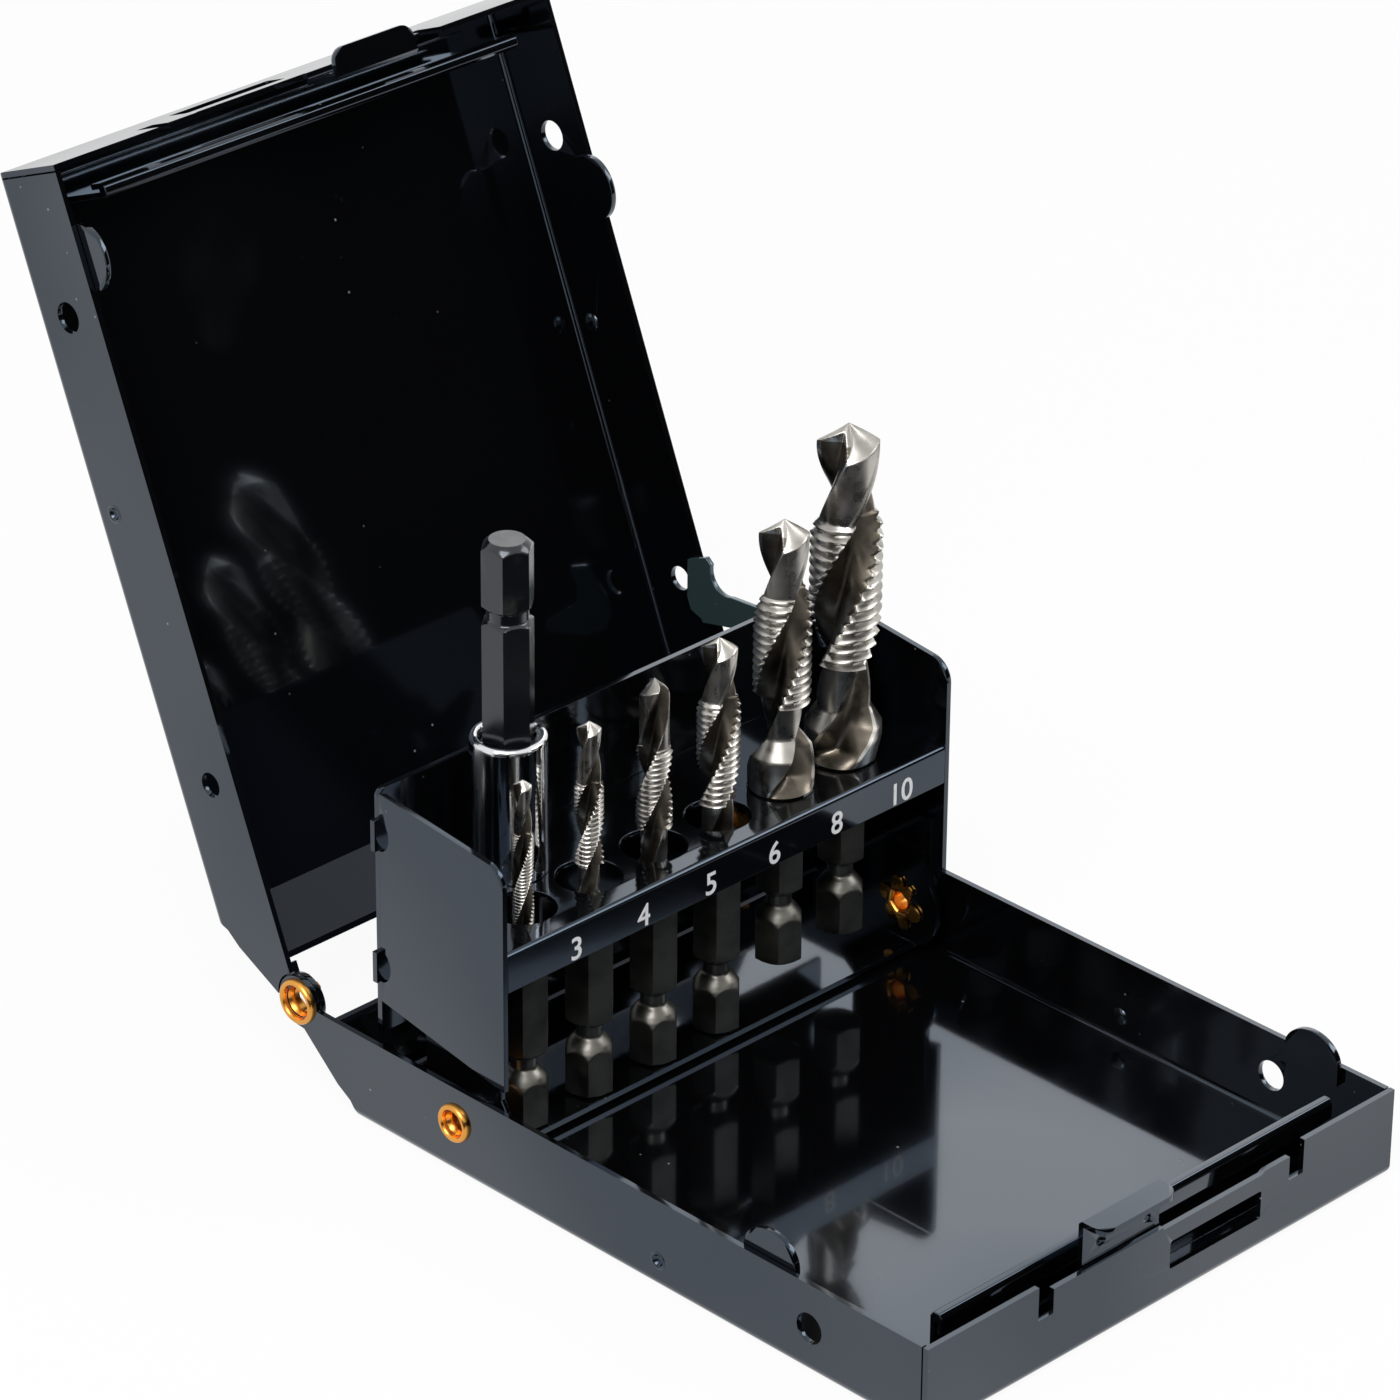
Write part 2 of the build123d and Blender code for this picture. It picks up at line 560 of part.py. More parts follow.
with BuildPart() as rack_top_shelf:
    with BuildSketch(Plane.YZ):
        with BuildLine():
            Polyline(
                (RACK_BACK - SHEET, SHELF_TOP),
                (RACK_BACK - SHEET, SHELF_TOP - SHEET),
                (RACK_FRONT + SHEET, SHELF_TOP - SHEET),
                (RACK_FRONT + SHEET, SHELF_TOP - LABEL_LIP),
                (RACK_FRONT, SHELF_TOP - LABEL_LIP),
                (RACK_FRONT, SHELF_TOP),
                close=True,
            )
        make_face()
    extrude(amount=CHEEK_IN, both=True)
    bend = rack_top_shelf.edges().filter_by(Axis.X).group_by(Axis.Z)[-1].sort_by(Axis.Y)[0]
    fillet(bend, 0.7)
    for tap in TAPS.values():
        with Locations((tap[0], ROW_Y, SHELF_TOP)):
            Cylinder(HOLE_R, 2 * (SHEET + MARGIN), mode=Mode.SUBTRACT)
    with Locations((HOLDER_X, HOLDER_Y, SHELF_TOP)):
        Cylinder(HOLE_R, 2 * (SHEET + MARGIN), mode=Mode.SUBTRACT)
rack_top_shelf.part.label = "rack_top_shelf"
export_step(rack_top_shelf.part, "parts/rack_top_shelf.step")

with BuildPart() as rack_tray:
    with BuildSketch(Plane.YZ):
        with BuildLine():
            Polyline(
                (TRAY_FRONT, TRAY_TOP),
                (RACK_BACK - SHEET, TRAY_TOP),
                (RACK_BACK - SHEET, TRAY_TOP + TRAY_REAR_RISE),
                (RACK_BACK, TRAY_TOP + TRAY_REAR_RISE),
                (RACK_BACK, TRAY_TOP),
                (RACK_BACK - SHEET, TRAY_TOP - SHEET),
                (TRAY_FRONT, TRAY_TOP - SHEET),
                close=True,
            )
        make_face()
    extrude(amount=CHEEK_IN, both=True)
    for side in (-1, 1):
        with BuildSketch(Plane.YZ.offset(side * FLANGE_IN)):
            with Locations((PIVOT_Y, PIVOT_Z)):
                Circle(SWING_R)
            with BuildLine():
                Polyline(
                    (PIVOT_Y - FLANGE_FRONT, PIVOT_Z),
                    (PIVOT_Y + FLANGE_TOE, TRAY_TOP - SHEET),
                    (RACK_BACK - SHEET, TRAY_TOP - SHEET + 0.2),
                    (RACK_BACK - SHEET, TRAY_TOP + TRAY_REAR_RISE),
                    (PIVOT_Y + FLANGE_BACK, PIVOT_Z + FLANGE_STEP),
                    (PIVOT_Y + FLANGE_BACK, PIVOT_Z + FLANGE_H),
                    (PIVOT_Y - FLANGE_FRONT, PIVOT_Z + FLANGE_H),
                    close=True,
                )
            make_face()
            with Locations((PIVOT_Y, PIVOT_Z)):
                Circle(PIVOT_BARREL_R + RUN_GAP, mode=Mode.SUBTRACT)
        extrude(amount=side * SHEET)
rack_tray.part.label = "rack_tray"
export_step(rack_tray.part, "parts/rack_tray.step")


def tap_bit(tap_x, thread_d, drill_d, tip_z, drill_len, thread_len, foot_z, collar_d):
    """A drill, tap and countersink in one, standing on its hex shank."""
    hex_top = foot_z + BIT_HEX_LEN
    thread_top = tip_z - drill_len
    thread_foot = thread_top - thread_len
    seat = max(hex_top, SHELF_TOP) if collar_d > 2 * HOLE_R else hex_top
    collar_top = seat + COLLAR_H
    neck_r = drill_d / 2 - NECK_SLIM
    cone_top = min(collar_top + CONE_H, thread_foot - 1.0)
    point = drill_d / 2 / tan(radians(POINT_ANGLE / 2))
    with BuildPart() as bit:
        with BuildSketch(Plane.XY.offset(foot_z)):
            RegularPolygon(HEX_AF / 2, 6, major_radius=False)
        extrude(amount=seat - foot_z)
        with BuildSketch(Plane.XZ):
            with BuildLine():
                Polyline(
                    (BIT_CHAMFER[0], foot_z - MARGIN),
                    (BIT_CHAMFER[0], foot_z),
                    (HEX_OUT, foot_z + BIT_CHAMFER[1]),
                    (HEX_OUT, foot_z - MARGIN),
                    close=True,
                )
            make_face()
            with BuildLine():
                Polyline(*[(radius, foot_z + rise) for rise, radius in BIT_GROOVE], close=True)
            make_face()
        revolve(axis=Axis.Z, mode=Mode.SUBTRACT)
        with BuildSketch(Plane.XZ):
            with BuildLine():
                Polyline(
                    (0, seat),
                    (collar_d / 2, seat),
                    (collar_d / 2, collar_top),
                    (neck_r, cone_top),
                    (neck_r, thread_foot),
                    (thread_d / 2, thread_foot),
                    (thread_d / 2, thread_top - 0.8),
                    (drill_d / 2, thread_top),
                    (drill_d / 2, tip_z - point),
                    (0, tip_z),
                    close=True,
                )
            make_face()
        revolve(axis=Axis.Z)
        for turn in (0, 180):
            flute = Location((0, 0, 0), (0, 0, turn + FLUTE_TURN))
            with Locations(flute):
                with Locations((drill_d * FLUTE_OUT, 0, thread_foot)):
                    Cylinder(
                        drill_d * FLUTE_R,
                        tip_z - thread_foot + MARGIN,
                        align=(Align.CENTER, Align.CENTER, Align.MIN),
                        mode=Mode.SUBTRACT,
                    )
    with BuildPart() as placed:
        with Locations((tap_x, ROW_Y, 0)):
            add(bit.part)
    return placed


tap_m3 = tap_bit(*TAPS["m3"])
tap_m3.part.label = "tap_m3"
export_step(tap_m3.part, "parts/tap_m3.step")

tap_m4 = tap_bit(*TAPS["m4"])
tap_m4.part.label = "tap_m4"
export_step(tap_m4.part, "parts/tap_m4.step")

tap_m5 = tap_bit(*TAPS["m5"])
tap_m5.part.label = "tap_m5"
export_step(tap_m5.part, "parts/tap_m5.step")

tap_m6 = tap_bit(*TAPS["m6"])
tap_m6.part.label = "tap_m6"
export_step(tap_m6.part, "parts/tap_m6.step")

tap_m8 = tap_bit(*TAPS["m8"])
tap_m8.part.label = "tap_m8"
export_step(tap_m8.part, "parts/tap_m8.step")

tap_m10 = tap_bit(*TAPS["m10"])
tap_m10.part.label = "tap_m10"
export_step(tap_m10.part, "parts/tap_m10.step")

with BuildPart() as holder_shank:
    with Locations((HOLDER_X, HOLDER_Y, HOLDER_FOOT_Z)):
        Cylinder(
            HOLDER_BODY_R,
            SLEEVE_TOP_Z - SLEEVE_DROP - HOLDER_FOOT_Z,
            align=(Align.CENTER, Align.CENTER, Align.MIN),
        )
    with BuildSketch(Plane.XY.offset(SLEEVE_TOP_Z - SLEEVE_DROP)):
        with Locations((HOLDER_X, HOLDER_Y)):
            RegularPolygon(HEX_AF / 2, 6, major_radius=False)
    extrude(amount=HOLDER_TOP_Z - SLEEVE_TOP_Z + SLEEVE_DROP)
    with BuildSketch(Plane.XZ.offset(-HOLDER_Y)):
        with BuildLine():
            Polyline(
                (HOLDER_X + HOLDER_CHAMFER[0], HOLDER_TOP_Z + MARGIN),
                (HOLDER_X + HOLDER_CHAMFER[0], HOLDER_TOP_Z),
                (HOLDER_X + HEX_OUT, HOLDER_TOP_Z - HOLDER_CHAMFER[1]),
                (HOLDER_X + HEX_OUT, HOLDER_TOP_Z + MARGIN),
                close=True,
            )
        make_face()
        with BuildLine():
            Polyline(
                *[(HOLDER_X + radius, HOLDER_TOP_Z - drop) for drop, radius in HOLDER_GROOVE],
                close=True,
            )
        make_face()
    revolve(axis=Axis((HOLDER_X, HOLDER_Y, 0), (0, 0, 1)), mode=Mode.SUBTRACT)
    with BuildSketch(Plane.XY.offset(HOLDER_FOOT_Z)):
        with Locations((HOLDER_X, HOLDER_Y)):
            RegularPolygon(SOCKET_AF / 2, 6, major_radius=False)
    extrude(amount=SOCKET_DEPTH, mode=Mode.SUBTRACT)
    with Locations((HOLDER_X, HOLDER_Y, HOLDER_FOOT_Z + SOCKET_DEPTH)):
        Cylinder(
            MAGNET_R, MAGNET_H, align=(Align.CENTER, Align.CENTER, Align.MIN), mode=Mode.SUBTRACT
        )
holder_shank.part.label = "holder_shank"
export_step(holder_shank.part, "parts/holder_shank.step")

with BuildPart() as holder_magnet:
    with Locations((HOLDER_X, HOLDER_Y, HOLDER_FOOT_Z + SOCKET_DEPTH)):
        Cylinder(MAGNET_R, MAGNET_H, align=(Align.CENTER, Align.CENTER, Align.MIN))
holder_magnet.part.label = "holder_magnet"
export_step(holder_magnet.part, "parts/holder_magnet.step")

with BuildPart() as holder_sleeve:
    with BuildSketch(Plane.XZ.offset(-HOLDER_Y)):
        with BuildLine():
            Polyline(
                (HOLDER_X + HOLDER_BODY_R, SHELF_TOP),
                (HOLDER_X + SLEEVE_R - 0.4, SHELF_TOP),
                (HOLDER_X + SLEEVE_R, SHELF_TOP + 0.4),
                (HOLDER_X + SLEEVE_R, SLEEVE_TOP_Z - 0.5),
                (HOLDER_X + SLEEVE_R - 0.4, SLEEVE_TOP_Z),
                (HOLDER_X + SLEEVE_BORE_R + 0.2, SLEEVE_TOP_Z),
                (HOLDER_X + SLEEVE_BORE_R, SLEEVE_TOP_Z - 0.3),
                (HOLDER_X + SLEEVE_BORE_R, SHELF_TOP + SLEEVE_SEAT_H),
                (HOLDER_X + HOLDER_BODY_R, SHELF_TOP + SLEEVE_SEAT_H),
                close=True,
            )
        make_face()
    revolve(axis=Axis((HOLDER_X, HOLDER_Y, 0), (0, 0, 1)))
holder_sleeve.part.label = "holder_sleeve"
export_step(holder_sleeve.part, "parts/holder_sleeve.step")

with BuildPart() as holder_ring:
    with BuildSketch(Plane.XY.offset(SLEEVE_TOP_Z - SLEEVE_DROP)):
        with Locations((HOLDER_X, HOLDER_Y)):
            Circle(SLEEVE_BORE_R)
            Circle(SLEEVE_BORE_R - RING_W, mode=Mode.SUBTRACT)
            with Locations((0, SLEEVE_BORE_R)):
                Rectangle(RING_GAP, 4 * RING_W, mode=Mode.SUBTRACT)
    extrude(amount=RING_W)
holder_ring.part.label = "holder_ring"
export_step(holder_ring.part, "parts/holder_ring.step")
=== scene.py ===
"""Finishes and fine detail of a drill bit case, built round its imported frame."""
import json
import math

import bmesh
import bpy
from bpy.props import FloatProperty, FloatVectorProperty, PointerProperty
from bpy.types import Operator, Panel, PropertyGroup
from mathutils import Matrix, Vector

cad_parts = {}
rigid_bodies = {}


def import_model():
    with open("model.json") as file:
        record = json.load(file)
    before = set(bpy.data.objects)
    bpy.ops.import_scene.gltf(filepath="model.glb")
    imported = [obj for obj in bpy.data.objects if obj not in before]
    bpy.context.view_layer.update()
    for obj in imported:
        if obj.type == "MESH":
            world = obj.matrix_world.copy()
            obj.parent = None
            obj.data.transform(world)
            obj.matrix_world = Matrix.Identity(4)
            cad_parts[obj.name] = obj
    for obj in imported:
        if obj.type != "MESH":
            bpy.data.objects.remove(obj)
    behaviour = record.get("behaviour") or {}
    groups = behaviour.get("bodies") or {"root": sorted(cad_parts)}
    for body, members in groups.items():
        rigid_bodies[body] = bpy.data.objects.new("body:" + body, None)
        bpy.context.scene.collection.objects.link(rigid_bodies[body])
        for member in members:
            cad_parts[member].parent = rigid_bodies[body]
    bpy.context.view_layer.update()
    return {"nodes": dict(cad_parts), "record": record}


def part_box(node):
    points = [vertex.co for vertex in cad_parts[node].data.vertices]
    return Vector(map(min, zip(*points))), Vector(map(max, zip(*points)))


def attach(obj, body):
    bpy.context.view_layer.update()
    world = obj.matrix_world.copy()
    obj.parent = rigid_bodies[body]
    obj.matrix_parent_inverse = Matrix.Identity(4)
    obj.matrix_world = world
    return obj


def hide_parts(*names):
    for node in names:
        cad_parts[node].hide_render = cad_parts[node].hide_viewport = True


bl_info = {
    "name": "Drill Bit Case",
    "version": (1, 0, 0),
    "blender": (4, 5, 0),
    "location": "3D View > Sidebar > Bit Case",
    "description": "Finishes a pressed-steel case with a folding rack of tap bits",
    "category": "Object",
}

for startup_object in list(bpy.data.objects):
    bpy.data.objects.remove(startup_object)

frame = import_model()

# lengths are in millimetres unless a comment says otherwise, and times MM they are in metres
MM = 0.001

ENAMEL_NODES = (
    "base_shell",
    "base_rib",
    "lid_shell",
    "lid_rib",
    "rack_back",
    "rack_cheek_left",
    "rack_cheek_right",
    "rack_top_shelf",
    "rack_tray",
)
PLATED_NODES = ("holder_ring", "holder_magnet", "pivot_washers")
PLATED_EDGE = 0.06                      # softening of their edges

# thread diameter, pitch, drill diameter, drill length, thread length; collar diameter;
# lead of the flutes; direction of one cutting lip's corner, in degrees
BITS = {
    "m3": ((3.0, 0.5, 2.5, 7.8, 13.8), 6.0, 23.0, 315.0),
    "m4": ((4.0, 0.7, 3.3, 8.9, 12.5), 6.6, 26.0, 315.0),
    "m5": ((5.0, 0.8, 4.2, 10.0, 12.3), 7.4, 31.0, 243.0),
    "m6": ((6.0, 1.0, 5.0, 9.0, 15.9), 8.2, 33.0, 315.0),
    "m8": ((8.0, 1.25, 6.8, 10.6, 16.5), 10.4, 46.0, 320.0),
    "m10": ((10.0, 1.5, 8.5, 13.6, 21.6), 12.0, 49.0, 318.0),
}
# digits, and how far they stand beside the bit
NUMBERS = {
    "m3": ("3", 2.2),
    "m4": ("4", 2.5),
    "m5": ("5", 3.0),
    "m6": ("6", 3.0),
    "m8": ("8", 3.0),
    "m10": ("10", 3.5),
}

DIGIT_SHARE = 0.7                       # a digit's height, of its text's size
PRINT_DROP = 4.0                        # middle of the digits below the shelf's top
PRINT_GAP = 0.01                        # print in front of the lip
PRINT_DEPTH = 0.02                      # half its thickness
PRINT_SPREAD = 0.05                     # widening of its strokes

HEX_FLATS = 6.35                        # quarter-inch drive
HEX_LENGTH = 25.5                       # of a small bit's shank
HEX_CORNER = math.radians(45)           # direction of a corner of each bit's hexagon
HEX_OUT = 4.0                           # a radius beyond the hexagon's corners
SHANK_END = 1.2                         # the shank's chamfered end lies below this rise
DOME_FOOT = 5.4                         # its dome and its groove lie between this rise
GROOVE_TOP = 13.0                       # and this one
# what turning leaves of the hexagon, as (rise above the foot, radius)
SHANK_OUTLINE = (
    (0.0, 2.7), (0.7, HEX_OUT), (5.5, HEX_OUT), (5.9, 3.66), (6.8, 3.27), (7.5, 2.85), (8.1, 2.35),
    (8.5, 1.9), (8.7, 1.8), (10.2, 1.8), (10.6, 2.3), (12.0, HEX_OUT),
)
SHELF_HOLE = 4.55                       # radius of the shelf's holes

ANGLE_STEPS = 96
STEP = 2 * math.pi / ANGLE_STEPS
HALF_TURN = ANGLE_STEPS // 2            # two flutes, half a turn apart
HALF_FLUTE = 13                         # half of a flute, in angle steps
RAKE_POWER = 2.8                        # steepness of a flute's cutting side
HEEL_POWER = 1.8                        # and of its other side
WEB_SHARE = 0.15                        # radius left at a flute's bottom, of the drill's diameter
NECK_SHARE = 0.43                       # radius of the neck, of the drill's diameter
NECK_FLUTE = 0.55                       # radius left by the flutes in the neck, of the neck's radius
POINT_SLOPE = math.tan(math.radians(59))
RELIEF = 0.5                            # fall of the point behind its lip, of the radius
MARGIN_STEPS = 2                        # full-width margin behind a lip, in angle steps
BODY_SHARE = 0.96                       # radius behind that margin, of the drill's radius
THREAD_DEPTH = 0.61                     # of the pitch
THREAD_FLANK = 1.25                     # steepness of the thread's flanks
CREST_FLAT = 0.12                       # flat left on its crest
LEAD_CORE = 0.485                       # radius where the thread's lead starts, of the drill's diameter
LEAD_START = 0.35                       # share of the full thread at the top of its lead
LEAD_PITCHES = 1.6                      # length of the lead, in pitches
LEAST_NECK = 0.5                        # between a countersink's cone and the thread
COLLAR_RISE = 2.2                       # height of a small bit's collar
HEAD_RISE = 5.6                         # a seated countersink's widest part ends here above the shelf
HEAD_FLARE = 3.8                        # and starts here, widening out of the shelf's hole
HEAD_SHARE = 0.89                       # radius of a seated countersink, of its collar's
CONE_STRETCH = 1.6                      # height of a countersink's cone over its width
FLUTE_RUNOUT = 1.6                      # the flutes reach their depth over this height of the head
EDGE_BREAK = 0.3                        # chamfer at the head's foot
# indices of the bit's three steels; the flute and shank steels are darker copies of the land steel, painted
# shade of the recessed flutes and of the shanks in the shelf's shade
LAND_STEEL, FLUTE_STEEL_PAINTED_SHADE, SHANK_STEEL_PAINTED_SHADE = range(3)


# ---------------------------------------------------------------- settings
class EnamelSettings(PropertyGroup):
    """Black gloss enamel of the sheet-metal pieces."""

    colour: FloatVectorProperty(
        name="Enamel colour", description="Colour of the enamel", subtype="COLOR", size=3,
        min=0.0, max=1.0, default=(0.0017, 0.0018, 0.0022),
    )
    lug_colour: FloatVectorProperty(
        name="Lug colour", description="Colour of the thinner coat on the lid's lug", subtype="COLOR",
        size=3, min=0.0, max=1.0, default=(0.032, 0.055, 0.057),
    )
    roughness: FloatProperty(
        name="Roughness", description="Roughness of clean enamel", min=0.0, max=1.0, default=0.06,
    )
    edge_radius: FloatProperty(
        name="Edge radius", description="Softening of the sheet's cut edges",
        unit="LENGTH", min=0.0, default=0.14 * MM,
    )


class SteelSettings(PropertyGroup):
    """Steels of the bits and of the bit holder."""

    land: FloatVectorProperty(
        name="Ground lands", description="Colour of the ground lands and threads", subtype="COLOR",
        size=3, min=0.0, max=1.0, default=(0.50, 0.48, 0.445),
    )
    # painted shade: the flute colour is a warm tone darkened as painted shade of the recessed flutes
    flute: FloatVectorProperty(
        name="Flutes", description="Warm colour left in the flutes", subtype="COLOR", size=3,
        min=0.0, max=1.0, default=(0.18, 0.158, 0.128),
    )
    # painted shade: the shank colour is darkened as painted shade, for the shanks in the shade of the shelf
    shank: FloatVectorProperty(
        name="Shanks", description="Colour of the bits' hexagonal shanks", subtype="COLOR", size=3,
        min=0.0, max=1.0, default=(0.17, 0.165, 0.147),
    )
    oxide: FloatVectorProperty(
        name="Black oxide", description="Colour of the holder's blackened shank", subtype="COLOR",
        size=3, min=0.0, max=1.0, default=(0.004, 0.0045, 0.0055),
    )


class EyeletSettings(PropertyGroup):
    """Brass eyelets at the hinge and at the rack's pivots."""

    brass: FloatVectorProperty(
        name="Brass", description="Colour of the eyelets", subtype="COLOR", size=3,
        min=0.0, max=1.0, default=(0.80, 0.37, 0.075),
    )
    hinge_petal: FloatProperty(
        name="Hinge petals", description="Length of the hinge eyelets' split petals",
        unit="LENGTH", min=0.0, default=1.4 * MM,
    )
    pivot_petal: FloatProperty(
        name="Pivot petals", description="Length of the pivot eyelets' split petals",
        unit="LENGTH", min=0.0, default=2.5 * MM,
    )


class NumberSettings(PropertyGroup):
    """Size numbers printed on the shelf's front lip."""

    height: FloatProperty(
        name="Height", description="Height of the digits", unit="LENGTH", min=0.0,
        default=3.3 * MM,
    )
    ink: FloatVectorProperty(
        name="Ink", description="Colour of the print", subtype="COLOR", size=3,
        min=0.0, max=1.0, default=(0.82, 0.83, 0.84),
    )


class StudioSettings(PropertyGroup):
    """Camera placement and lens."""

    azimuth: FloatProperty(
        name="Azimuth", description="Camera direction round the case", subtype="ANGLE",
        default=math.radians(-44.83),
    )
    elevation: FloatProperty(
        name="Elevation", description="Camera height angle", subtype="ANGLE",
        default=math.radians(28.08),
    )
    roll: FloatProperty(
        name="Roll", description="Camera roll", subtype="ANGLE", default=math.radians(0.47),
    )
    distance: FloatProperty(
        name="Distance", description="Camera to its aim", unit="LENGTH", default=0.8752,
    )
    lens: FloatProperty(
        name="Lens", description="Focal length in millimetres", min=1.0, default=172.7,
    )


# ---------------------------------------------------------------- node helpers
def darker(colour, share):
    """The same colour at a share of its brightness."""
    return tuple(part * share for part in colour)


def rgba(colour):
    """A colour, or one number for a grey, as red, green, blue and alpha."""
    red, green, blue = colour if isinstance(colour, tuple) else (colour,) * 3
    return (red, green, blue, 1.0)


def math_node(nodes, links, operation, first, second):
    """What a math node makes of two sources, or of a source and a number."""
    node = nodes.new("ShaderNodeMath")
    node.operation = operation
    links.new(first, node.inputs[0])
    if isinstance(second, float):
        node.inputs[1].default_value = second
    else:
        links.new(second, node.inputs[1])
    return node.outputs["Value"]


class Finish:
    """A node material while it is made, with its shader and its place in object space."""

    def __init__(self, name):
        self.material = bpy.data.materials.new(name)
        self.material.use_nodes = True
        self.nodes = self.material.node_tree.nodes
        self.links = self.material.node_tree.links
        self.shader = self.nodes["Principled BSDF"]
        self.place = self.nodes.new("ShaderNodeTexCoord").outputs["Object"]

    def fix(self, socket, value):
        """Sets what is the same all over, on the shader's own socket."""
        self.shader.inputs[socket].default_value = value

    def feed(self, socket, source):
        """Links what varies over the surface to one of the shader's sockets."""
        self.links.new(source, self.shader.inputs[socket])

    def noise(self, scale, detail=3.0, stretch=None, turn=(0.3, 0.5, 0.8)):
        """Noise over the surface. stretch scales its axes apart, for streaks, and turn tilts them."""
        texture = self.nodes.new("ShaderNodeTexNoise")
        texture.inputs["Scale"].default_value = scale
        texture.inputs["Detail"].default_value = detail
        place = self.place
        if stretch:
            mapping = self.nodes.new("ShaderNodeMapping")
            mapping.inputs["Scale"].default_value = stretch
            mapping.inputs["Rotation"].default_value = turn
            self.links.new(place, mapping.inputs["Vector"])
            place = mapping.outputs["Vector"]
        self.links.new(place, texture.inputs["Vector"])
        return texture.outputs["Fac"]

    def ramp(self, source, *stops):
        """A ramp through (position, colour or grey) stops."""
        band = self.nodes.new("ShaderNodeValToRGB")
        elements = band.color_ramp.elements
        while len(elements) < len(stops):
            elements.new(0.5)
        for element, (position, colour) in zip(elements, stops):
            element.position = position
            element.color = rgba(colour)
        self.links.new(source, band.inputs["Fac"])
        return band.outputs["Color"]

    def mixed(self, factor, first, second):
        """First where factor is 0 and second where it is 1. Each is a colour, a grey or a source."""
        mix = self.nodes.new("ShaderNodeMix")
        mix.data_type = "RGBA"
        self.links.new(factor, mix.inputs["Factor"])
        for socket, value in ((mix.inputs["A"], first), (mix.inputs["B"], second)):
            if isinstance(value, (tuple, float)):
                socket.default_value = rgba(value)
            else:
                self.links.new(value, socket)
        return mix.outputs["Result"]

    def bump(self, height, distance, strength=1.0):
        """Feeds a height into the shader's normal, after whatever bump is there already."""
        bump = self.nodes.new("ShaderNodeBump")
        bump.inputs["Distance"].default_value = distance
        bump.inputs["Strength"].default_value = strength
        self.links.new(height, bump.inputs["Height"])
        normal = self.shader.inputs["Normal"]
        if normal.links:
            self.links.new(normal.links[0].from_socket, bump.inputs["Normal"])
        self.links.new(bump.outputs["Normal"], normal)


# ---------------------------------------------------------------- materials
def gloss_enamel(name, base, settings):
    """Sprayed gloss enamel with orange peel, dust nibs and fine rubbed scratches."""
    finish = Finish(name)
    dust = finish.nodes.new("ShaderNodeTexVoronoi")
    dust.inputs["Scale"].default_value = 230.0
    finish.links.new(finish.place, dust.inputs["Vector"])
    specks = finish.ramp(dust.outputs["Distance"], (0.02, 1.0), (0.05, 0.0))
    patches = finish.ramp(finish.noise(45.0), (0.50, 0.0), (0.58, 1.0))
    settled = math_node(finish.nodes, finish.links, "MULTIPLY", specks, patches)
    scratches = finish.ramp(finish.noise(260.0, 2.0, (1.0, 0.035, 1.0)), (0.72, 0.0), (0.76, 1.0))
    smudges = finish.ramp(finish.noise(30.0, 5.0), (0.64, base), (0.85, 0.008))
    finish.feed("Base Color", finish.mixed(settled, smudges, 0.22))
    clean = settings.roughness
    haze = finish.ramp(finish.noise(28.0, 4.0), (0.35, clean), (0.75, clean + 0.05))
    finish.feed("Roughness", finish.mixed(scratches, haze, clean + 0.16))
    finish.bump(finish.noise(330.0, 2.0), 0.008 * MM, 0.4)
    finish.bump(settled, 0.03 * MM, 0.6)
    finish.fix("IOR", 1.64)
    # painted reflection tint: the blue specular tint colours every reflection as if the surroundings were
    # bluish
    finish.fix("Specular Tint", (0.56, 0.75, 1.0, 1.0))
    finish.feed("Coat Weight", finish.ramp(finish.noise(16.0, 1.0), (0.38, 0.05), (0.62, 0.45)))
    finish.fix("Coat Roughness", 0.03)
    return finish.material


def tool_steel(name, bright, warm, low, high):
    """High-speed steel with a warm tint in patches and fine grinding lines, from low to high roughness."""
    finish = Finish(name)
    patches = finish.ramp(finish.noise(190.0, 4.0), (0.42, 0.0), (0.66, 1.0))
    finish.feed("Base Color", finish.mixed(patches, bright, warm))
    finish.feed("Roughness", finish.ramp(finish.noise(420.0), (0.3, low), (0.7, high)))
    finish.bump(finish.noise(900.0, 2.0, (0.15, 0.15, 2.2)), 0.008 * MM, 0.5)
    finish.fix("Metallic", 1.0)
    return finish.material


def bit_steels(settings):
    """The three finishes of a bit, in the order of the land, flute and shank indices. The flute and shank
    steels are darker copies, painted shade of the recessed flutes and of the shaded shanks; the flutes also
    keep a warm tone.
    """
    land, flute, shank = tuple(settings.land), tuple(settings.flute), tuple(settings.shank)
    return (
        tool_steel("ground_land_steel", land, darker(land, 0.55), 0.22, 0.38),
        # the flute steel, darker again in patches: painted shade of the recessed flutes
        tool_steel("flute_steel_painted_shade", flute, darker(flute, 0.25), 0.26, 0.44),
        # the shank steel, darker than the lands: painted shade of the shanks in the shelf's shade
        tool_steel("shank_steel_painted_shade", shank, darker(shank, 0.6), 0.28, 0.42),
    )


def black_oxide(settings):
    """Oiled black oxide over turned steel, thinner where it is handled."""
    finish = Finish("black_oxide")
    worn = finish.ramp(finish.noise(240.0, 5.0), (0.60, 0.0), (0.80, 1.0))
    finish.feed("Base Color", finish.mixed(worn, tuple(settings.oxide), (0.030, 0.029, 0.028)))
    finish.feed("Roughness", finish.ramp(finish.noise(500.0), (0.3, 0.12), (0.7, 0.22)))
    finish.bump(finish.noise(700.0), 0.008 * MM, 0.5)
    finish.fix("IOR", 1.5)
    # painted reflection tint: the blue specular tint colours every reflection as if the surroundings were
    # bluish
    finish.fix("Specular Tint", (0.80, 0.89, 1.0, 1.0))
    finish.fix("Coat Weight", 0.4)
    finish.fix("Coat Roughness", 0.14)
    return finish.material


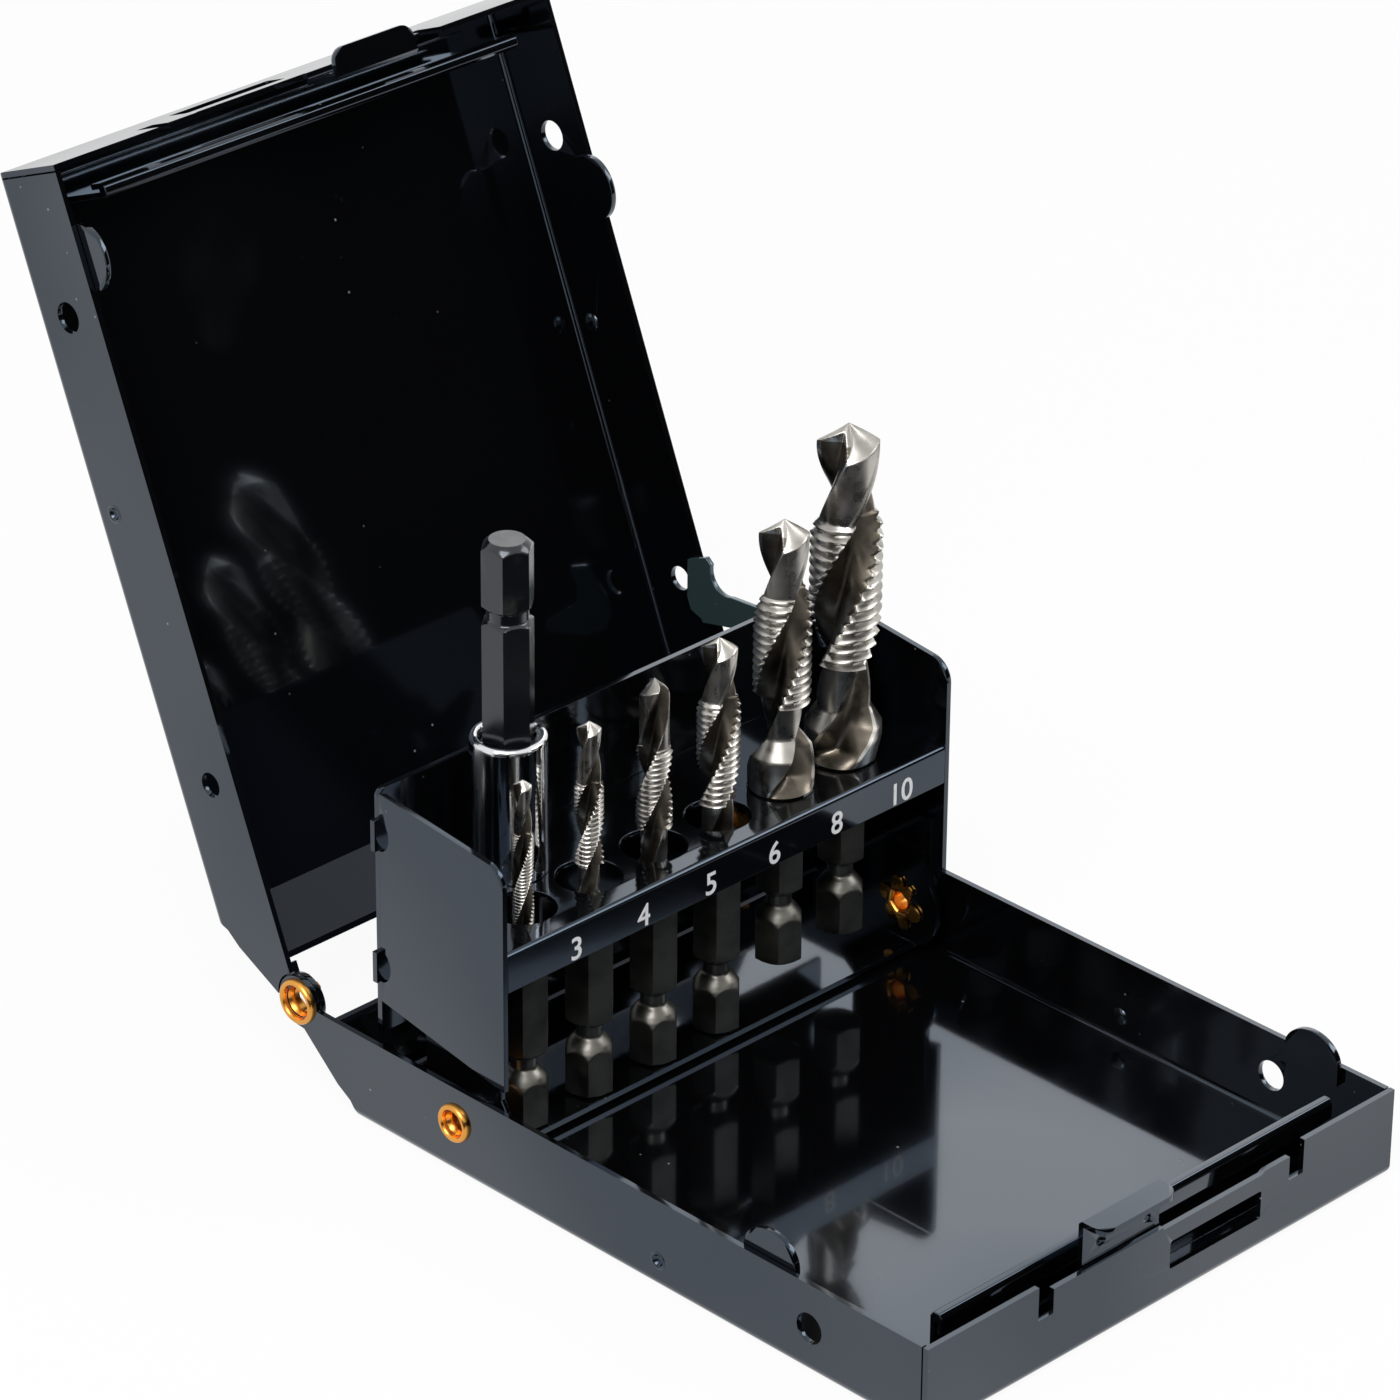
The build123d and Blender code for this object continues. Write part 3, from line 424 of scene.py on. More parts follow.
def bright_plate(name, colour, low, high, streaks=0.0):
    """Plated or polished metal with a little uneven polish. streaks is the depth of upright drawn lines."""
    finish = Finish(name)
    finish.feed("Base Color", finish.ramp(finish.noise(160.0), (0.3, darker(colour, 0.82)), (0.7, colour)))
    rough = finish.ramp(finish.noise(380.0), (0.3, low), (0.7, high))
    finish.bump(finish.noise(800.0, 2.0, (0.2, 0.2, 1.6)), 0.004 * MM, 0.4)
    if streaks:
        upright = finish.noise(420.0, 3.0, (1.0, 1.0, 0.02), (0.0, 0.0, 0.0))
        finish.bump(upright, streaks)
        rough = finish.mixed(finish.ramp(upright, (0.50, 0.0), (0.70, 1.0)), rough, 0.3)
    finish.feed("Roughness", rough)
    finish.fix("Metallic", 1.0)
    return finish.material


def printed_ink(settings):
    """Thin screen-printed ink with a slightly broken surface."""
    finish = Finish("printed_ink")
    ink = tuple(settings.ink)
    finish.feed("Base Color", finish.ramp(finish.noise(2600.0), (0.3, darker(ink, 0.85)), (0.6, ink)))
    finish.fix("Roughness", 0.45)
    finish.bump(finish.noise(3000.0), 0.004 * MM, 0.5)
    return finish.material


# ---------------------------------------------------------------- mesh helpers
WELD_GAP = 0.002                        # seams closer than this are joined
EDGE_ANGLE = math.radians(35)           # edges sharper than this are softened


def dress(node, material, edge_radius=0.0):
    """Gives a frame node its finish, and softens its sharp edges."""
    piece = frame["nodes"][node]
    piece.data.materials.clear()
    piece.data.materials.append(material)
    if edge_radius:
        weld = piece.modifiers.new("joined_seams", "WELD")
        weld.merge_threshold = WELD_GAP * MM
        bevel = piece.modifiers.new("soft_edges", "BEVEL")
        bevel.width = edge_radius
        bevel.segments = 2
        bevel.limit_method = "ANGLE"
        bevel.angle_limit = EDGE_ANGLE
        for face in piece.data.polygons:
            face.use_smooth = True
        flat = piece.modifiers.new("flat_faces", "WEIGHTED_NORMAL")
        flat.mode = "FACE_AREA"
        flat.weight = 80
        flat.keep_sharp = False
    return piece


def piece_from(name, vertices, faces, materials, body, slot, sharp=35.0, finishes=None):
    """A new piece, smooth except at its sharp edges, riding on a body."""
    mesh = bpy.data.meshes.new(name)
    mesh.from_pydata([Vector(v) * MM for v in vertices], [], faces)
    for material in materials:
        mesh.materials.append(material)
    if finishes:
        mesh.polygons.foreach_set("material_index", finishes)
    tidy = bmesh.new()
    tidy.from_mesh(mesh)
    bmesh.ops.recalc_face_normals(tidy, faces=tidy.faces)
    tidy.to_mesh(mesh)
    tidy.free()
    mesh.polygons.foreach_set("use_smooth", [True] * len(mesh.polygons))
    mesh.set_sharp_from_angle(angle=math.radians(sharp))
    piece = bpy.data.objects.new(name, mesh)
    bpy.context.scene.collection.objects.link(piece)
    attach(piece, body)
    return piece


def ring_faces(rows, steps):
    """Quads between successive closed rings of vertices."""
    faces = []
    for row in range(rows - 1):
        for step in range(steps):
            beside = (step + 1) % steps
            low = row * steps
            faces.append((low + step, low + beside, low + steps + beside, low + steps + step))
    return faces


def add_caps(vertices, faces, steps, first_middle, last_middle):
    """Closes a stack of rings with a fan of faces at each end."""
    last = len(vertices) - steps
    middle = len(vertices)
    vertices += [first_middle, last_middle]
    faces += [((step + 1) % steps, step, middle) for step in range(steps)]
    faces += [(last + step, last + (step + 1) % steps, middle + 1) for step in range(steps)]


def turned(outline, place, steps=48):
    """Turns a closed (along, radius) outline about an axis. place gives a point its position."""
    vertices = []
    for along, radius in outline:
        for step in range(steps):
            angle = 2 * math.pi * step / steps
            vertices.append(place(along, radius * math.cos(angle), radius * math.sin(angle)))
    faces = ring_faces(len(outline), steps)
    last = (len(outline) - 1) * steps
    for step in range(steps):
        beside = (step + 1) % steps
        faces.append((last + step, last + beside, beside, step))
    return vertices, faces


def join(vertices, faces, more_vertices, more_faces):
    """Adds one mesh to another."""
    offset = len(vertices)
    vertices += more_vertices
    faces += [tuple(index + offset for index in face) for face in more_faces]


def node_axis(node):
    """The middle of a node in x and y, and its lowest and highest z, in millimetres."""
    low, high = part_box(node)
    return (low.x + high.x) / 2 / MM, (low.y + high.y) / 2 / MM, low.z / MM, high.z / MM


def hex_radius(angle, flats):
    """Distance from the axis to a hexagon whose corners lie at whole sixths of a turn."""
    from_flat = (angle - math.pi / 6) % (math.pi / 3)
    from_flat = min(from_flat, math.pi / 3 - from_flat)
    return flats / 2 / math.cos(from_flat)


def turned_limit(rise, outline):
    """Radius that an outline of (rise, radius) points leaves at this rise."""
    for (low, first), (high, second) in zip(outline, outline[1:]):
        if low <= rise <= high:
            return first + (second - first) * (rise - low) / (high - low)
    return HEX_OUT


def spread(low, high, spacing):
    """Heights from low up to, but not including, high, about spacing apart."""
    count = max(1, round((high - low) / spacing))
    return [low + (high - low) * i / count for i in range(count)]


# ---------------------------------------------------------------- bits
def beside_flute(step):
    """Angle steps from the middle of the nearest flute, negative on its cutting side."""
    return (step + HALF_TURN // 2) % HALF_TURN - HALF_TURN // 2


def flute_cut(step):
    """How far a flute is cut at this step: 0 on a land, 1 at its bottom. Its cutting side is steep."""
    across = beside_flute(step) / HALF_FLUTE
    if abs(across) >= 1:
        return 0.0
    return 1 - abs(across) ** (RAKE_POWER if across < 0 else HEEL_POWER)


def behind_lip(step):
    """Angle steps behind the cutting lip of the land at this step."""
    beside = beside_flute(step)
    return HALF_TURN - HALF_FLUTE - beside if beside > 0 else -HALF_FLUTE - beside


def flank_fall(step):
    """Fall of the point behind its lip: 0 at the lip, 1 at the heel, and back across the flute."""
    beside = beside_flute(step)
    if abs(beside) <= HALF_FLUTE:
        return (beside + HALF_FLUTE) / (2 * HALF_FLUTE)
    return behind_lip(step) / (HALF_TURN - 2 * HALF_FLUTE)


def thread_drop(height, angle, pitch):
    """Depth of a vee thread at a point, from 0 on the crest to 1 at the root."""
    phase = (height / pitch - angle / (2 * math.pi)) % 1.0
    return min(1.0, max(0.0, THREAD_FLANK * (1 - abs(2 * phase - 1)) - CREST_FLAT))


class Bit:
    """Sizes and heights of one bit, in millimetres, and the radius of its skin at any place."""

    def __init__(self, name):
        sizes, collar, self.lead, lip = BITS[name]
        self.thread_d, self.pitch, self.drill_d, drill_length, thread_length = sizes
        self.x, self.y, self.foot, self.tip = node_axis("tap_" + name)
        self.thread_top = self.tip - drill_length
        self.thread_foot = self.thread_top - thread_length
        self.seated = collar > 2 * SHELF_HOLE
        shelf_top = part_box("rack_top_shelf")[1].z / MM
        self.hex_top = shelf_top if self.seated else self.foot + HEX_LENGTH
        self.head = collar / 2 * (HEAD_SHARE if self.seated else 1.0)
        self.neck = self.drill_d * NECK_SHARE
        self.web = self.drill_d * WEB_SHARE
        self.head_top = self.hex_top + (HEAD_RISE if self.seated else COLLAR_RISE)
        cone_top = self.head_top + CONE_STRETCH * (self.head - self.neck)
        self.cone_top = min(cone_top, self.thread_foot - LEAST_NECK)
        self.shoulder = self.tip - self.drill_d / 2 / POINT_SLOPE
        self.point_foot = self.shoulder - RELIEF * self.drill_d / 2
        self.start = math.radians(lip) + HALF_FLUTE * STEP
        self.start -= (self.twist(self.hex_top) + STEP / 2) % STEP - STEP / 2

    def twist(self, z):
        """Turn of the flutes at a height. It stops below the head, on a whole angle step."""
        return self.start + 2 * math.pi * (max(z, self.hex_top) - self.shoulder) / self.lead

    def heights(self):
        """Rows of the skin, close together where its outline changes quickly."""
        foot = self.foot
        rows = spread(foot, foot + SHANK_END, 0.15)
        rows += spread(foot + SHANK_END, foot + DOME_FOOT, 2.1)
        rows += spread(foot + DOME_FOOT, foot + GROOVE_TOP, 0.2)
        rows += spread(foot + GROOVE_TOP, self.hex_top, 4.0)
        rows += [self.hex_top, self.hex_top + 0.001]
        rows += spread(self.hex_top + EDGE_BREAK, self.head_top, 0.35)
        rows += spread(self.head_top, self.cone_top, 0.25)
        rows += spread(self.cone_top, self.thread_foot, 0.4)
        rows += spread(self.thread_foot, self.thread_top, self.pitch / 8)
        rows += spread(self.thread_top, self.point_foot, 0.3)
        rows += spread(self.point_foot, self.tip - 0.02, 0.12)
        return rows

    def head_radius(self, z, cut):
        """The countersink of a large bit, or the plain collar of a small one."""
        full, rise = self.head, z - self.hex_top
        if z > self.head_top:
            full += (self.neck - full) * (z - self.head_top) / (self.cone_top - self.head_top)
        elif self.seated:
            full += (min(full, SHELF_HOLE) - full) * max(0.0, 1 - rise / HEAD_FLARE)
        full -= max(0.0, EDGE_BREAK - rise)
        depth = min(1.0, max(0.0, (rise - EDGE_BREAK) / FLUTE_RUNOUT))
        return full - (full - self.neck * NECK_FLUTE) * cut * depth

    def tap_radius(self, z, angle, cut):
        """The threaded lands, with a tapered lead at the top."""
        full = self.thread_d / 2
        core = self.drill_d * LEAD_CORE
        lead = min(1.0, LEAD_START + (self.thread_top - z) / (LEAD_PITCHES * self.pitch))
        crest = core + (full - core) * lead
        crest -= THREAD_DEPTH * self.pitch * lead * thread_drop(z, angle, self.pitch)
        return min(crest, full - (full - self.web) * cut)

    def drill_radius(self, z, step, cut):
        """The drill, with a narrow margin behind each lip, and its point."""
        full = self.drill_d / 2
        body = full if cut or behind_lip(step) <= MARGIN_STEPS else full * BODY_SHARE
        radius = min(body, full - (full - self.web) * cut)
        if z > self.point_foot:
            fall = 1 / POINT_SLOPE + RELIEF * flank_fall(step)
            radius = min(radius, max(0.01, (self.tip - z) / fall))
        return radius

    def radius(self, z, step, angle):
        """Distance of the skin from the axis."""
        cut = flute_cut(step)
        if z <= self.hex_top:
            limit = turned_limit(z - self.foot, SHANK_OUTLINE)
            return min(hex_radius(angle - HEX_CORNER, HEX_FLATS), limit)
        if z <= self.cone_top:
            return self.head_radius(z, cut)
        if z <= self.thread_foot:
            share = (z - self.cone_top) / (self.thread_foot - self.cone_top)
            bottom = self.neck * NECK_FLUTE * (1 - share) + self.web * share
            return self.neck - (self.neck - bottom) * cut
        if z < self.thread_top:
            return self.tap_radius(z, angle, cut)
        return self.drill_radius(z, step, cut)

    def finish(self, z, step):
        """Which of the three steels a spot shows. The flute and shank steels carry painted shade."""
        if z < self.hex_top:
            return SHANK_STEEL_PAINTED_SHADE
        if z > self.shoulder:
            return LAND_STEEL
        cut = min(flute_cut(step), flute_cut(step + 1))
        return FLUTE_STEEL_PAINTED_SHADE if cut > 0 else LAND_STEEL


def bit_skin(name):
    """Vertices, faces and finishes of one bit: drill, tap and countersink on a hexagonal shank."""
    bit = Bit(name)
    rows = bit.heights()
    vertices, finishes = [], []
    for z in rows:
        twist = bit.twist(z)
        for step in range(ANGLE_STEPS):
            angle = step * STEP + twist
            radius = bit.radius(z, step, angle)
            vertices.append((bit.x + radius * math.cos(angle), bit.y + radius * math.sin(angle), z))
    for z in rows[:-1]:
        finishes += [bit.finish(z, step) for step in range(ANGLE_STEPS)]
    faces = ring_faces(len(rows), ANGLE_STEPS)
    add_caps(vertices, faces, ANGLE_STEPS, (bit.x, bit.y, bit.foot), (bit.x, bit.y, bit.tip))
    finishes += [SHANK_STEEL_PAINTED_SHADE] * ANGLE_STEPS + [LAND_STEEL] * ANGLE_STEPS
    return vertices, faces, finishes


# ---------------------------------------------------------------- bit holder
DRIVE_CORNER = math.radians(37)         # direction of a corner of the holder's hexagon
DRIVE_LENGTH = 31.6                     # hexagonal drive above the holder's round body
DRIVE_END = 1.5                         # its rounded end lies above this drop from the top
DRIVE_GROOVE = (8.8, 12.4)              # and its groove between these drops
BODY_RADIUS = 4.3
BODY_BREAK = 0.3                        # its broken edges
SOCKET_FLATS = 6.5
SOCKET_DEPTH = 10.0
SOCKET_LEAD = 0.4                       # chamfer of the socket's mouth
SLEEVE_WALL = 1.0
SLEEVE_BREAK = 0.2
RIM_RADIUS = 0.6                        # of the bead rolled at the sleeve's mouth
# what turning leaves of the drive, as (drop from the top, radius)
DRIVE_OUTLINE = (
    (0.0, 2.45), (0.35, 2.9), (1.3, 3.8), (1.31, HEX_OUT), (9.0, HEX_OUT), (9.25, 3.62), (9.8, 2.85),
    (11.4, 2.85), (11.95, 3.62), (12.2, HEX_OUT),
)


def drive_heights(foot, top):
    """Rows of the hexagonal drive, close together at its power groove and its rounded end."""
    groove_top, groove_foot = (top - drop for drop in DRIVE_GROOVE)
    rows = [foot]
    rows += spread(foot + 1.0, groove_foot, 5.0)
    rows += spread(groove_foot, groove_top, 0.12)
    rows += spread(groove_top, top - DRIVE_END, 2.5)
    rows += spread(top - DRIVE_END, top, 0.12)
    return rows + [top]


def holder_skin():
    """The holder's round body with its hexagonal socket below and its hexagonal drive above."""
    x, y, foot, top = node_axis("holder_shank")
    drive_foot = top - DRIVE_LENGTH
    socket_end = foot + SOCKET_DEPTH + 0.1
    rows = [(socket_end, HEX_OUT, SOCKET_FLATS), (foot + SOCKET_LEAD, HEX_OUT, SOCKET_FLATS)]
    rows += [(foot, HEX_OUT, SOCKET_FLATS + SOCKET_LEAD), (foot, BODY_RADIUS - BODY_BREAK, None)]
    rows += [(foot + BODY_BREAK, BODY_RADIUS, None), (drive_foot - BODY_BREAK, BODY_RADIUS, None)]
    rows += [(drive_foot, BODY_RADIUS - BODY_BREAK, None)]
    rows += [(z, turned_limit(top - z, DRIVE_OUTLINE), HEX_FLATS) for z in drive_heights(drive_foot, top)]
    vertices = []
    for z, limit, flats in rows:
        for step in range(ANGLE_STEPS):
            angle = step * STEP
            radius = min(limit, hex_radius(angle, flats)) if flats else limit
            across, along = math.cos(angle + DRIVE_CORNER), math.sin(angle + DRIVE_CORNER)
            vertices.append((x + radius * across, y + radius * along, z))
    faces = ring_faces(len(rows), ANGLE_STEPS)
    add_caps(vertices, faces, ANGLE_STEPS, (x, y, socket_end), (x, y, top))
    return vertices, faces


def sleeve_skin():
    """The drawn sleeve with its mouth rolled into a thick round rim."""
    x, y, foot, top = node_axis("holder_sleeve")
    low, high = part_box("holder_sleeve")
    outer = (high.x - low.x) / 2 / MM
    bore, rim, edge = outer - SLEEVE_WALL, RIM_RADIUS, SLEEVE_BREAK
    rolled = [
        (top - rim + rim * math.sin(turn), outer - rim + rim * math.cos(turn))
        for turn in (math.radians(angle) for angle in range(-10, 231, 16))
    ]
    outline = [(foot, bore + edge), (foot, outer - edge), (foot + edge, outer), (foot + 2 * edge, outer)]
    outline += [(top - 0.95, outer), (top - 0.8, outer)] + rolled
    outline += [(top - 1.3, bore), (top - 1.5, bore), (foot + 2 * edge, bore), (foot + edge, bore)]
    return turned(outline, lambda along, a, b: (x + a, y + b, along), ANGLE_STEPS)


# ---------------------------------------------------------------- eyelets
# each eyelet's grip, the radii of its bore, barrel and head, its head's height and its petals' width
HINGE_EYELET = (1.8, 1.75, 2.2, 3.3, 0.75, 1.5)
PIVOT_EYELET = (4.15, 1.3, 1.8, 2.8, 0.75, 2.1)
FUNNEL_SHARE = 0.372                    # widening of the funnel, of the way from bore to head
PETALS = 6
PETAL_SHEET = 0.4                       # thickness of a petal at its root
PETAL_THINNING = 0.35                   # share of it that is lost towards the end
PETAL_BEND = 0.42                       # radius of the bend at a petal's root
PETAL_DROOP = 0.16                      # fall of its end
PETAL_CUP = 0.06                        # rise of its edges, over the square of their distance


def eyelet_outline(grip, bore, barrel, head, head_height):
    """Closed outline of an eyelet as (outward, radius): a funnel, a rolled head and the barrel."""
    mouth = bore + FUNNEL_SHARE * (head - bore)
    middle, reach = (mouth + head) / 2, (head - mouth) / 2
    funnel = [(-grip, bore), (-1.1, bore), (-0.7, bore + 0.05), (-0.35, (bore + mouth) / 2)]
    roll = [
        (head_height * math.sin(turn), middle - reach * math.cos(turn))
        for turn in (math.pi * i / 16 for i in range(17))
    ]
    return funnel + roll + [(-0.02, barrel + 0.12), (-0.15, barrel), (-grip, barrel)]


def petal_path(share, middle, length):
    """Inward distance and radius of a petal's middle line, and its turn, at a share of its length."""
    along = share * length
    arc = PETAL_BEND * math.pi / 2
    if along < arc:
        turn = along / PETAL_BEND
        return PETAL_BEND * math.sin(turn), middle + PETAL_BEND * (1 - math.cos(turn)), turn
    beyond = along - arc
    droop = PETAL_DROOP * (beyond / max(length - arc, 0.1)) ** 2
    return PETAL_BEND - droop, middle + PETAL_BEND + beyond, math.pi / 2


def petal(place, grip, barrel, length, around, half_width):
    """One split petal, bent out flat over the hole's edge, narrowing to a rounded end."""
    bends, across = 9, 6
    middle = barrel - PETAL_SHEET / 2
    vertices, faces = [], []
    for skin in (-0.5, 0.5):
        for i in range(bends + 1):
            share = i / bends
            inward, radius, turn = petal_path(share, middle, length)
            inward -= skin * PETAL_SHEET * math.sin(turn) * (1 - PETAL_THINNING * share)
            radius += skin * PETAL_SHEET * math.cos(turn)
            width = half_width * math.sqrt(max(0.06, 1 - (0.94 * share) ** 4))
            for j in range(across + 1):
                side = width * (2 * j / across - 1)
                a = radius * math.cos(around) - side * math.sin(around)
                b = radius * math.sin(around) + side * math.cos(around)
                vertices.append(place(-grip - inward + PETAL_CUP * side * side, a, b))
    row = across + 1
    sheet = (bends + 1) * row
    for i in range(bends):
        for j in range(across):
            a = i * row + j
            faces.append((a, a + 1, a + row + 1, a + row))
            faces.append((sheet + a, sheet + a + row, sheet + a + row + 1, sheet + a + 1))
    rim = list(range(row))
    rim += [i * row + across for i in range(1, bends + 1)]
    rim += [bends * row + j for j in range(across - 1, -1, -1)]
    rim += [i * row for i in range(bends - 1, 0, -1)]
    for first, second in zip(rim, rim[1:] + rim[:1]):
        faces.append((first, second, sheet + second, sheet + first))
    return vertices, faces


def eyelet_pair(name, node, sizes, material, petal_length):
    """Both eyelets of one axis, each with a rolled head, a barrel and six petals."""
    grip, bore, barrel, head, head_height, petal_width = sizes
    low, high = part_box(node)
    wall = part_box("base_shell")[1].x / MM
    y = (low.y + high.y) / 2 / MM
    z = (low.z + high.z) / 2 / MM
    vertices, faces = [], []
    for side in (-1, 1):
        def place(outward, a, b):
            return (side * (wall + outward), y + a, z + b)

        join(vertices, faces, *turned(eyelet_outline(grip, bore, barrel, head, head_height), place))
        for count in range(PETALS):
            around = math.radians(360 / PETALS * count + 14 + 9 * math.sin(count * 2.3))
            length = petal_length * (1 + 0.14 * math.sin(count * 1.9 + side))
            half_width = petal_width / 2 * (1 + 0.16 * math.sin(count * 2.7))
            join(vertices, faces, *petal(place, grip, barrel, length, around, half_width))
    piece = piece_from(name, vertices, faces, [material], "base", "brass", 50.0)
    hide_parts(node)
    return piece


# ---------------------------------------------------------------- dimples
# A pressed dimple as (outward from the wall's outer face, radius): its dish, its rim, and its dome inside.
DIMPLE_OUTLINE = (
    (-0.55, 0.25), (-0.48, 0.5), (-0.30, 0.72), (-0.06, 0.86), (0.05, 0.95), (0.11, 1.08), (0.09, 1.22),
    (-0.02, 1.34), (-0.40, 1.2), (-0.78, 1.34), (-0.90, 1.26), (-1.08, 1.0), (-1.18, 0.6), (-1.22, 0.25),
)
DIMPLE_Y = -14.8                        # along the shell
DIMPLE_Z = 4.3                          # above its outer floor
DIMPLE_STEPS = 24


def on_open_lid(y, z):
    """Where a spot of the shell lies on the open lid, which is the same stamping turned over."""
    low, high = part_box("hinge_eyelets")
    hinge_y, hinge_z = (low.y + high.y) / 2 / MM, (low.z + high.z) / 2 / MM
    joints = frame["record"]["behaviour"]["joints"]
    hinge = next(joint for joint in joints if joint["name"] == "lid_hinge")
    turn = math.radians(hinge["range_deg"][0])
    along, rise = y - hinge_y, hinge_z - z
    return (
        hinge_y + along * math.cos(turn) - rise * math.sin(turn),
        hinge_z + along * math.sin(turn) + rise * math.cos(turn),
    )


def dimple_pair(y, z):
    """A dimple in each side wall."""
    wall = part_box("base_shell")[1].x / MM
    vertices, faces = [], []
    for side in (-1, 1):
        skin = []
        for outward, radius in DIMPLE_OUTLINE:
            for step in range(DIMPLE_STEPS):
                angle = 2 * math.pi * step / DIMPLE_STEPS
                across, up = radius * math.cos(angle), radius * math.sin(angle)
                skin.append((side * (wall + outward), y + across, z + up))
        sides = ring_faces(len(DIMPLE_OUTLINE), DIMPLE_STEPS)
        dish, dome = DIMPLE_OUTLINE[0][0] - 0.02, DIMPLE_OUTLINE[-1][0] - 0.02
        add_caps(skin, sides, DIMPLE_STEPS, (side * (wall + dish), y, z), (side * (wall + dome), y, z))
        join(vertices, faces, skin, sides)
    return vertices, faces


# ---------------------------------------------------------------- stage
# places on the stage are in metres
FLOOR_HALF = 3.0
FLOOR_GAP = 0.02                        # millimetres of air under the base
FLOOR_GLOW = 0.93                       # share of the floor's own white that is seen directly
# name, middle, direction, half width and height
UPRIGHT_CARDS = (
    ("standing_card", (0.40, -0.47), (0.776, 0.622), 0.20, 0.36),
    ("low_card", (-0.28, -0.52), (0.86, -0.51), 0.55, 0.24),
)
CARD_LEVEL = 0.3                        # millimetres from the floor to the lying card
LYING_CARD = (
    (-0.066, 0.010), (-0.066, -0.062), (-0.046, -0.088), (0.12, -0.088), (0.12, -0.32), (-0.32, -0.32),
    (-0.32, 0.010),
)
# name, place, width and power
SOFTBOXES = (
    ("key_softbox", (-0.55, -0.25, 0.75), 0.5, 5.5),
    ("fill_softbox", (0.65, -0.45, 0.6), 0.45, 2.5),
    ("back_softbox", (0.62, 0.52, 0.44), 0.42, 0.45),
)
LIGHT_AIM = (0.0, 0.01, 0.04)
CAMERA_AIM = (-9.81, 13.27, 62.35)      # millimetres


def seen_directly(nodes, links):
    """1 for rays from the camera, mirrors and glass, and 0 for light."""
    path = nodes.new("ShaderNodeLightPath").outputs
    seen = math_node(nodes, links, "MAXIMUM", path["Is Camera Ray"], path["Is Glossy Ray"])
    return math_node(nodes, links, "MAXIMUM", seen, path["Is Transmission Ray"])


def stage_panel(context, name, corners, material):
    """A flat piece of the stage."""
    mesh = bpy.data.meshes.new(name)
    mesh.from_pydata(corners, [], [tuple(range(len(corners)))])
    mesh.materials.append(material)
    panel = bpy.data.objects.new(name, mesh)
    context.scene.collection.objects.link(panel)
    return panel


def make_floor(context):
    """A wide pale floor that keeps a soft shadow."""
    finish = Finish("pale_floor")
    nodes, links = finish.nodes, finish.links
    finish.fix("Base Color", (0.86, 0.86, 0.86, 1.0))
    finish.fix("Roughness", 0.9)
    glow = nodes.new("ShaderNodeEmission")
    glow.inputs["Color"].default_value = (1.0, 1.0, 1.0, 1.0)
    share = math_node(nodes, links, "MULTIPLY", seen_directly(nodes, links), FLOOR_GLOW)
    blend = nodes.new("ShaderNodeMixShader")
    links.new(share, blend.inputs["Fac"])
    links.new(finish.shader.outputs["BSDF"], blend.inputs[1])
    links.new(glow.outputs["Emission"], blend.inputs[2])
    links.new(blend.outputs["Shader"], nodes["Material Output"].inputs["Surface"])
    half, level = FLOOR_HALF, -FLOOR_GAP * MM
    corners = [(-half, -half, level), (half, -half, level), (half, half, level), (-half, half, level)]
    stage_panel(context, "floor", corners, finish.material)


def upright_card(middle, along, half_width, height):
    """Corners of an upright card on the floor."""
    foot = Vector((*middle, 0.0))
    beside = Vector((*along, 0.0)) * half_width
    rise = Vector((0.0, 0.0, height))
    first, second = foot - beside, foot + beside
    return [tuple(corner) for corner in (first, second, second + rise, first + rise)]


def make_black_cards(context):
    """Black cards on the camera's side of the stage, which only the gloss of enamel and metal shows."""
    finish = Finish("black_card")
    finish.fix("Base Color", (0.004, 0.004, 0.004, 1.0))
    finish.fix("Roughness", 1.0)
    finish.fix("Specular IOR Level", 0.0)
    cards = {name: upright_card(*sizes) for name, *sizes in UPRIGHT_CARDS}
    cards["lying_card"] = [(x, y, CARD_LEVEL * MM) for x, y in LYING_CARD]
    for name, corners in cards.items():
        card = stage_panel(context, name, corners, finish.material)
        card.visible_camera = False
        card.visible_diffuse = False
        card.visible_shadow = False


def make_world(context):
    """White to the eye and in reflections, and plain soft light otherwise."""
    world = bpy.data.worlds.new("studio_world")
    context.scene.world = world
    world.use_nodes = True
    nodes, links = world.node_tree.nodes, world.node_tree.links
    background = nodes["Background"]
    background.inputs["Color"].default_value = (1.0, 1.0, 1.0, 1.0)
    strength = nodes.new("ShaderNodeMapRange")
    strength.inputs["To Min"].default_value = 0.45
    strength.inputs["To Max"].default_value = 1.0
    links.new(seen_directly(nodes, links), strength.inputs["Value"])
    links.new(strength.outputs["Result"], background.inputs["Strength"])


def make_lights(context):
    """Two large softboxes in front and a faint one behind, whose reflection lies on the floor of the base."""
    for name, place, size, power in SOFTBOXES:
        light = bpy.data.lights.new(name, "AREA")
        light.shape = "SQUARE"
        light.size = size
        light.energy = power
        lamp = bpy.data.objects.new(name, light)
        lamp.location = place
        aim = Vector(LIGHT_AIM) - Vector(place)
        lamp.rotation_euler = aim.to_track_quat("-Z", "Y").to_euler()
        lamp.visible_camera = False
        context.scene.collection.objects.link(lamp)


def make_camera(context, settings):
    """The main view."""
    a, e = settings.azimuth, settings.elevation
    away = Vector((math.sin(a) * math.cos(e), -math.cos(a) * math.cos(e), math.sin(e)))
    aim = Vector(CAMERA_AIM) * MM
    data = bpy.data.cameras.new("camera")
    data.lens = settings.lens
    data.sensor_width = 36.0
    data.clip_start = 0.05
    camera = bpy.data.objects.new("camera", data)
    camera.location = aim + away * settings.distance
    turn = (-away).to_track_quat("-Z", "Y").to_matrix() @ Matrix.Rotation(settings.roll, 3, "Z")
    camera.rotation_euler = turn.to_euler()
    context.scene.collection.objects.link(camera)
    context.scene.camera = camera


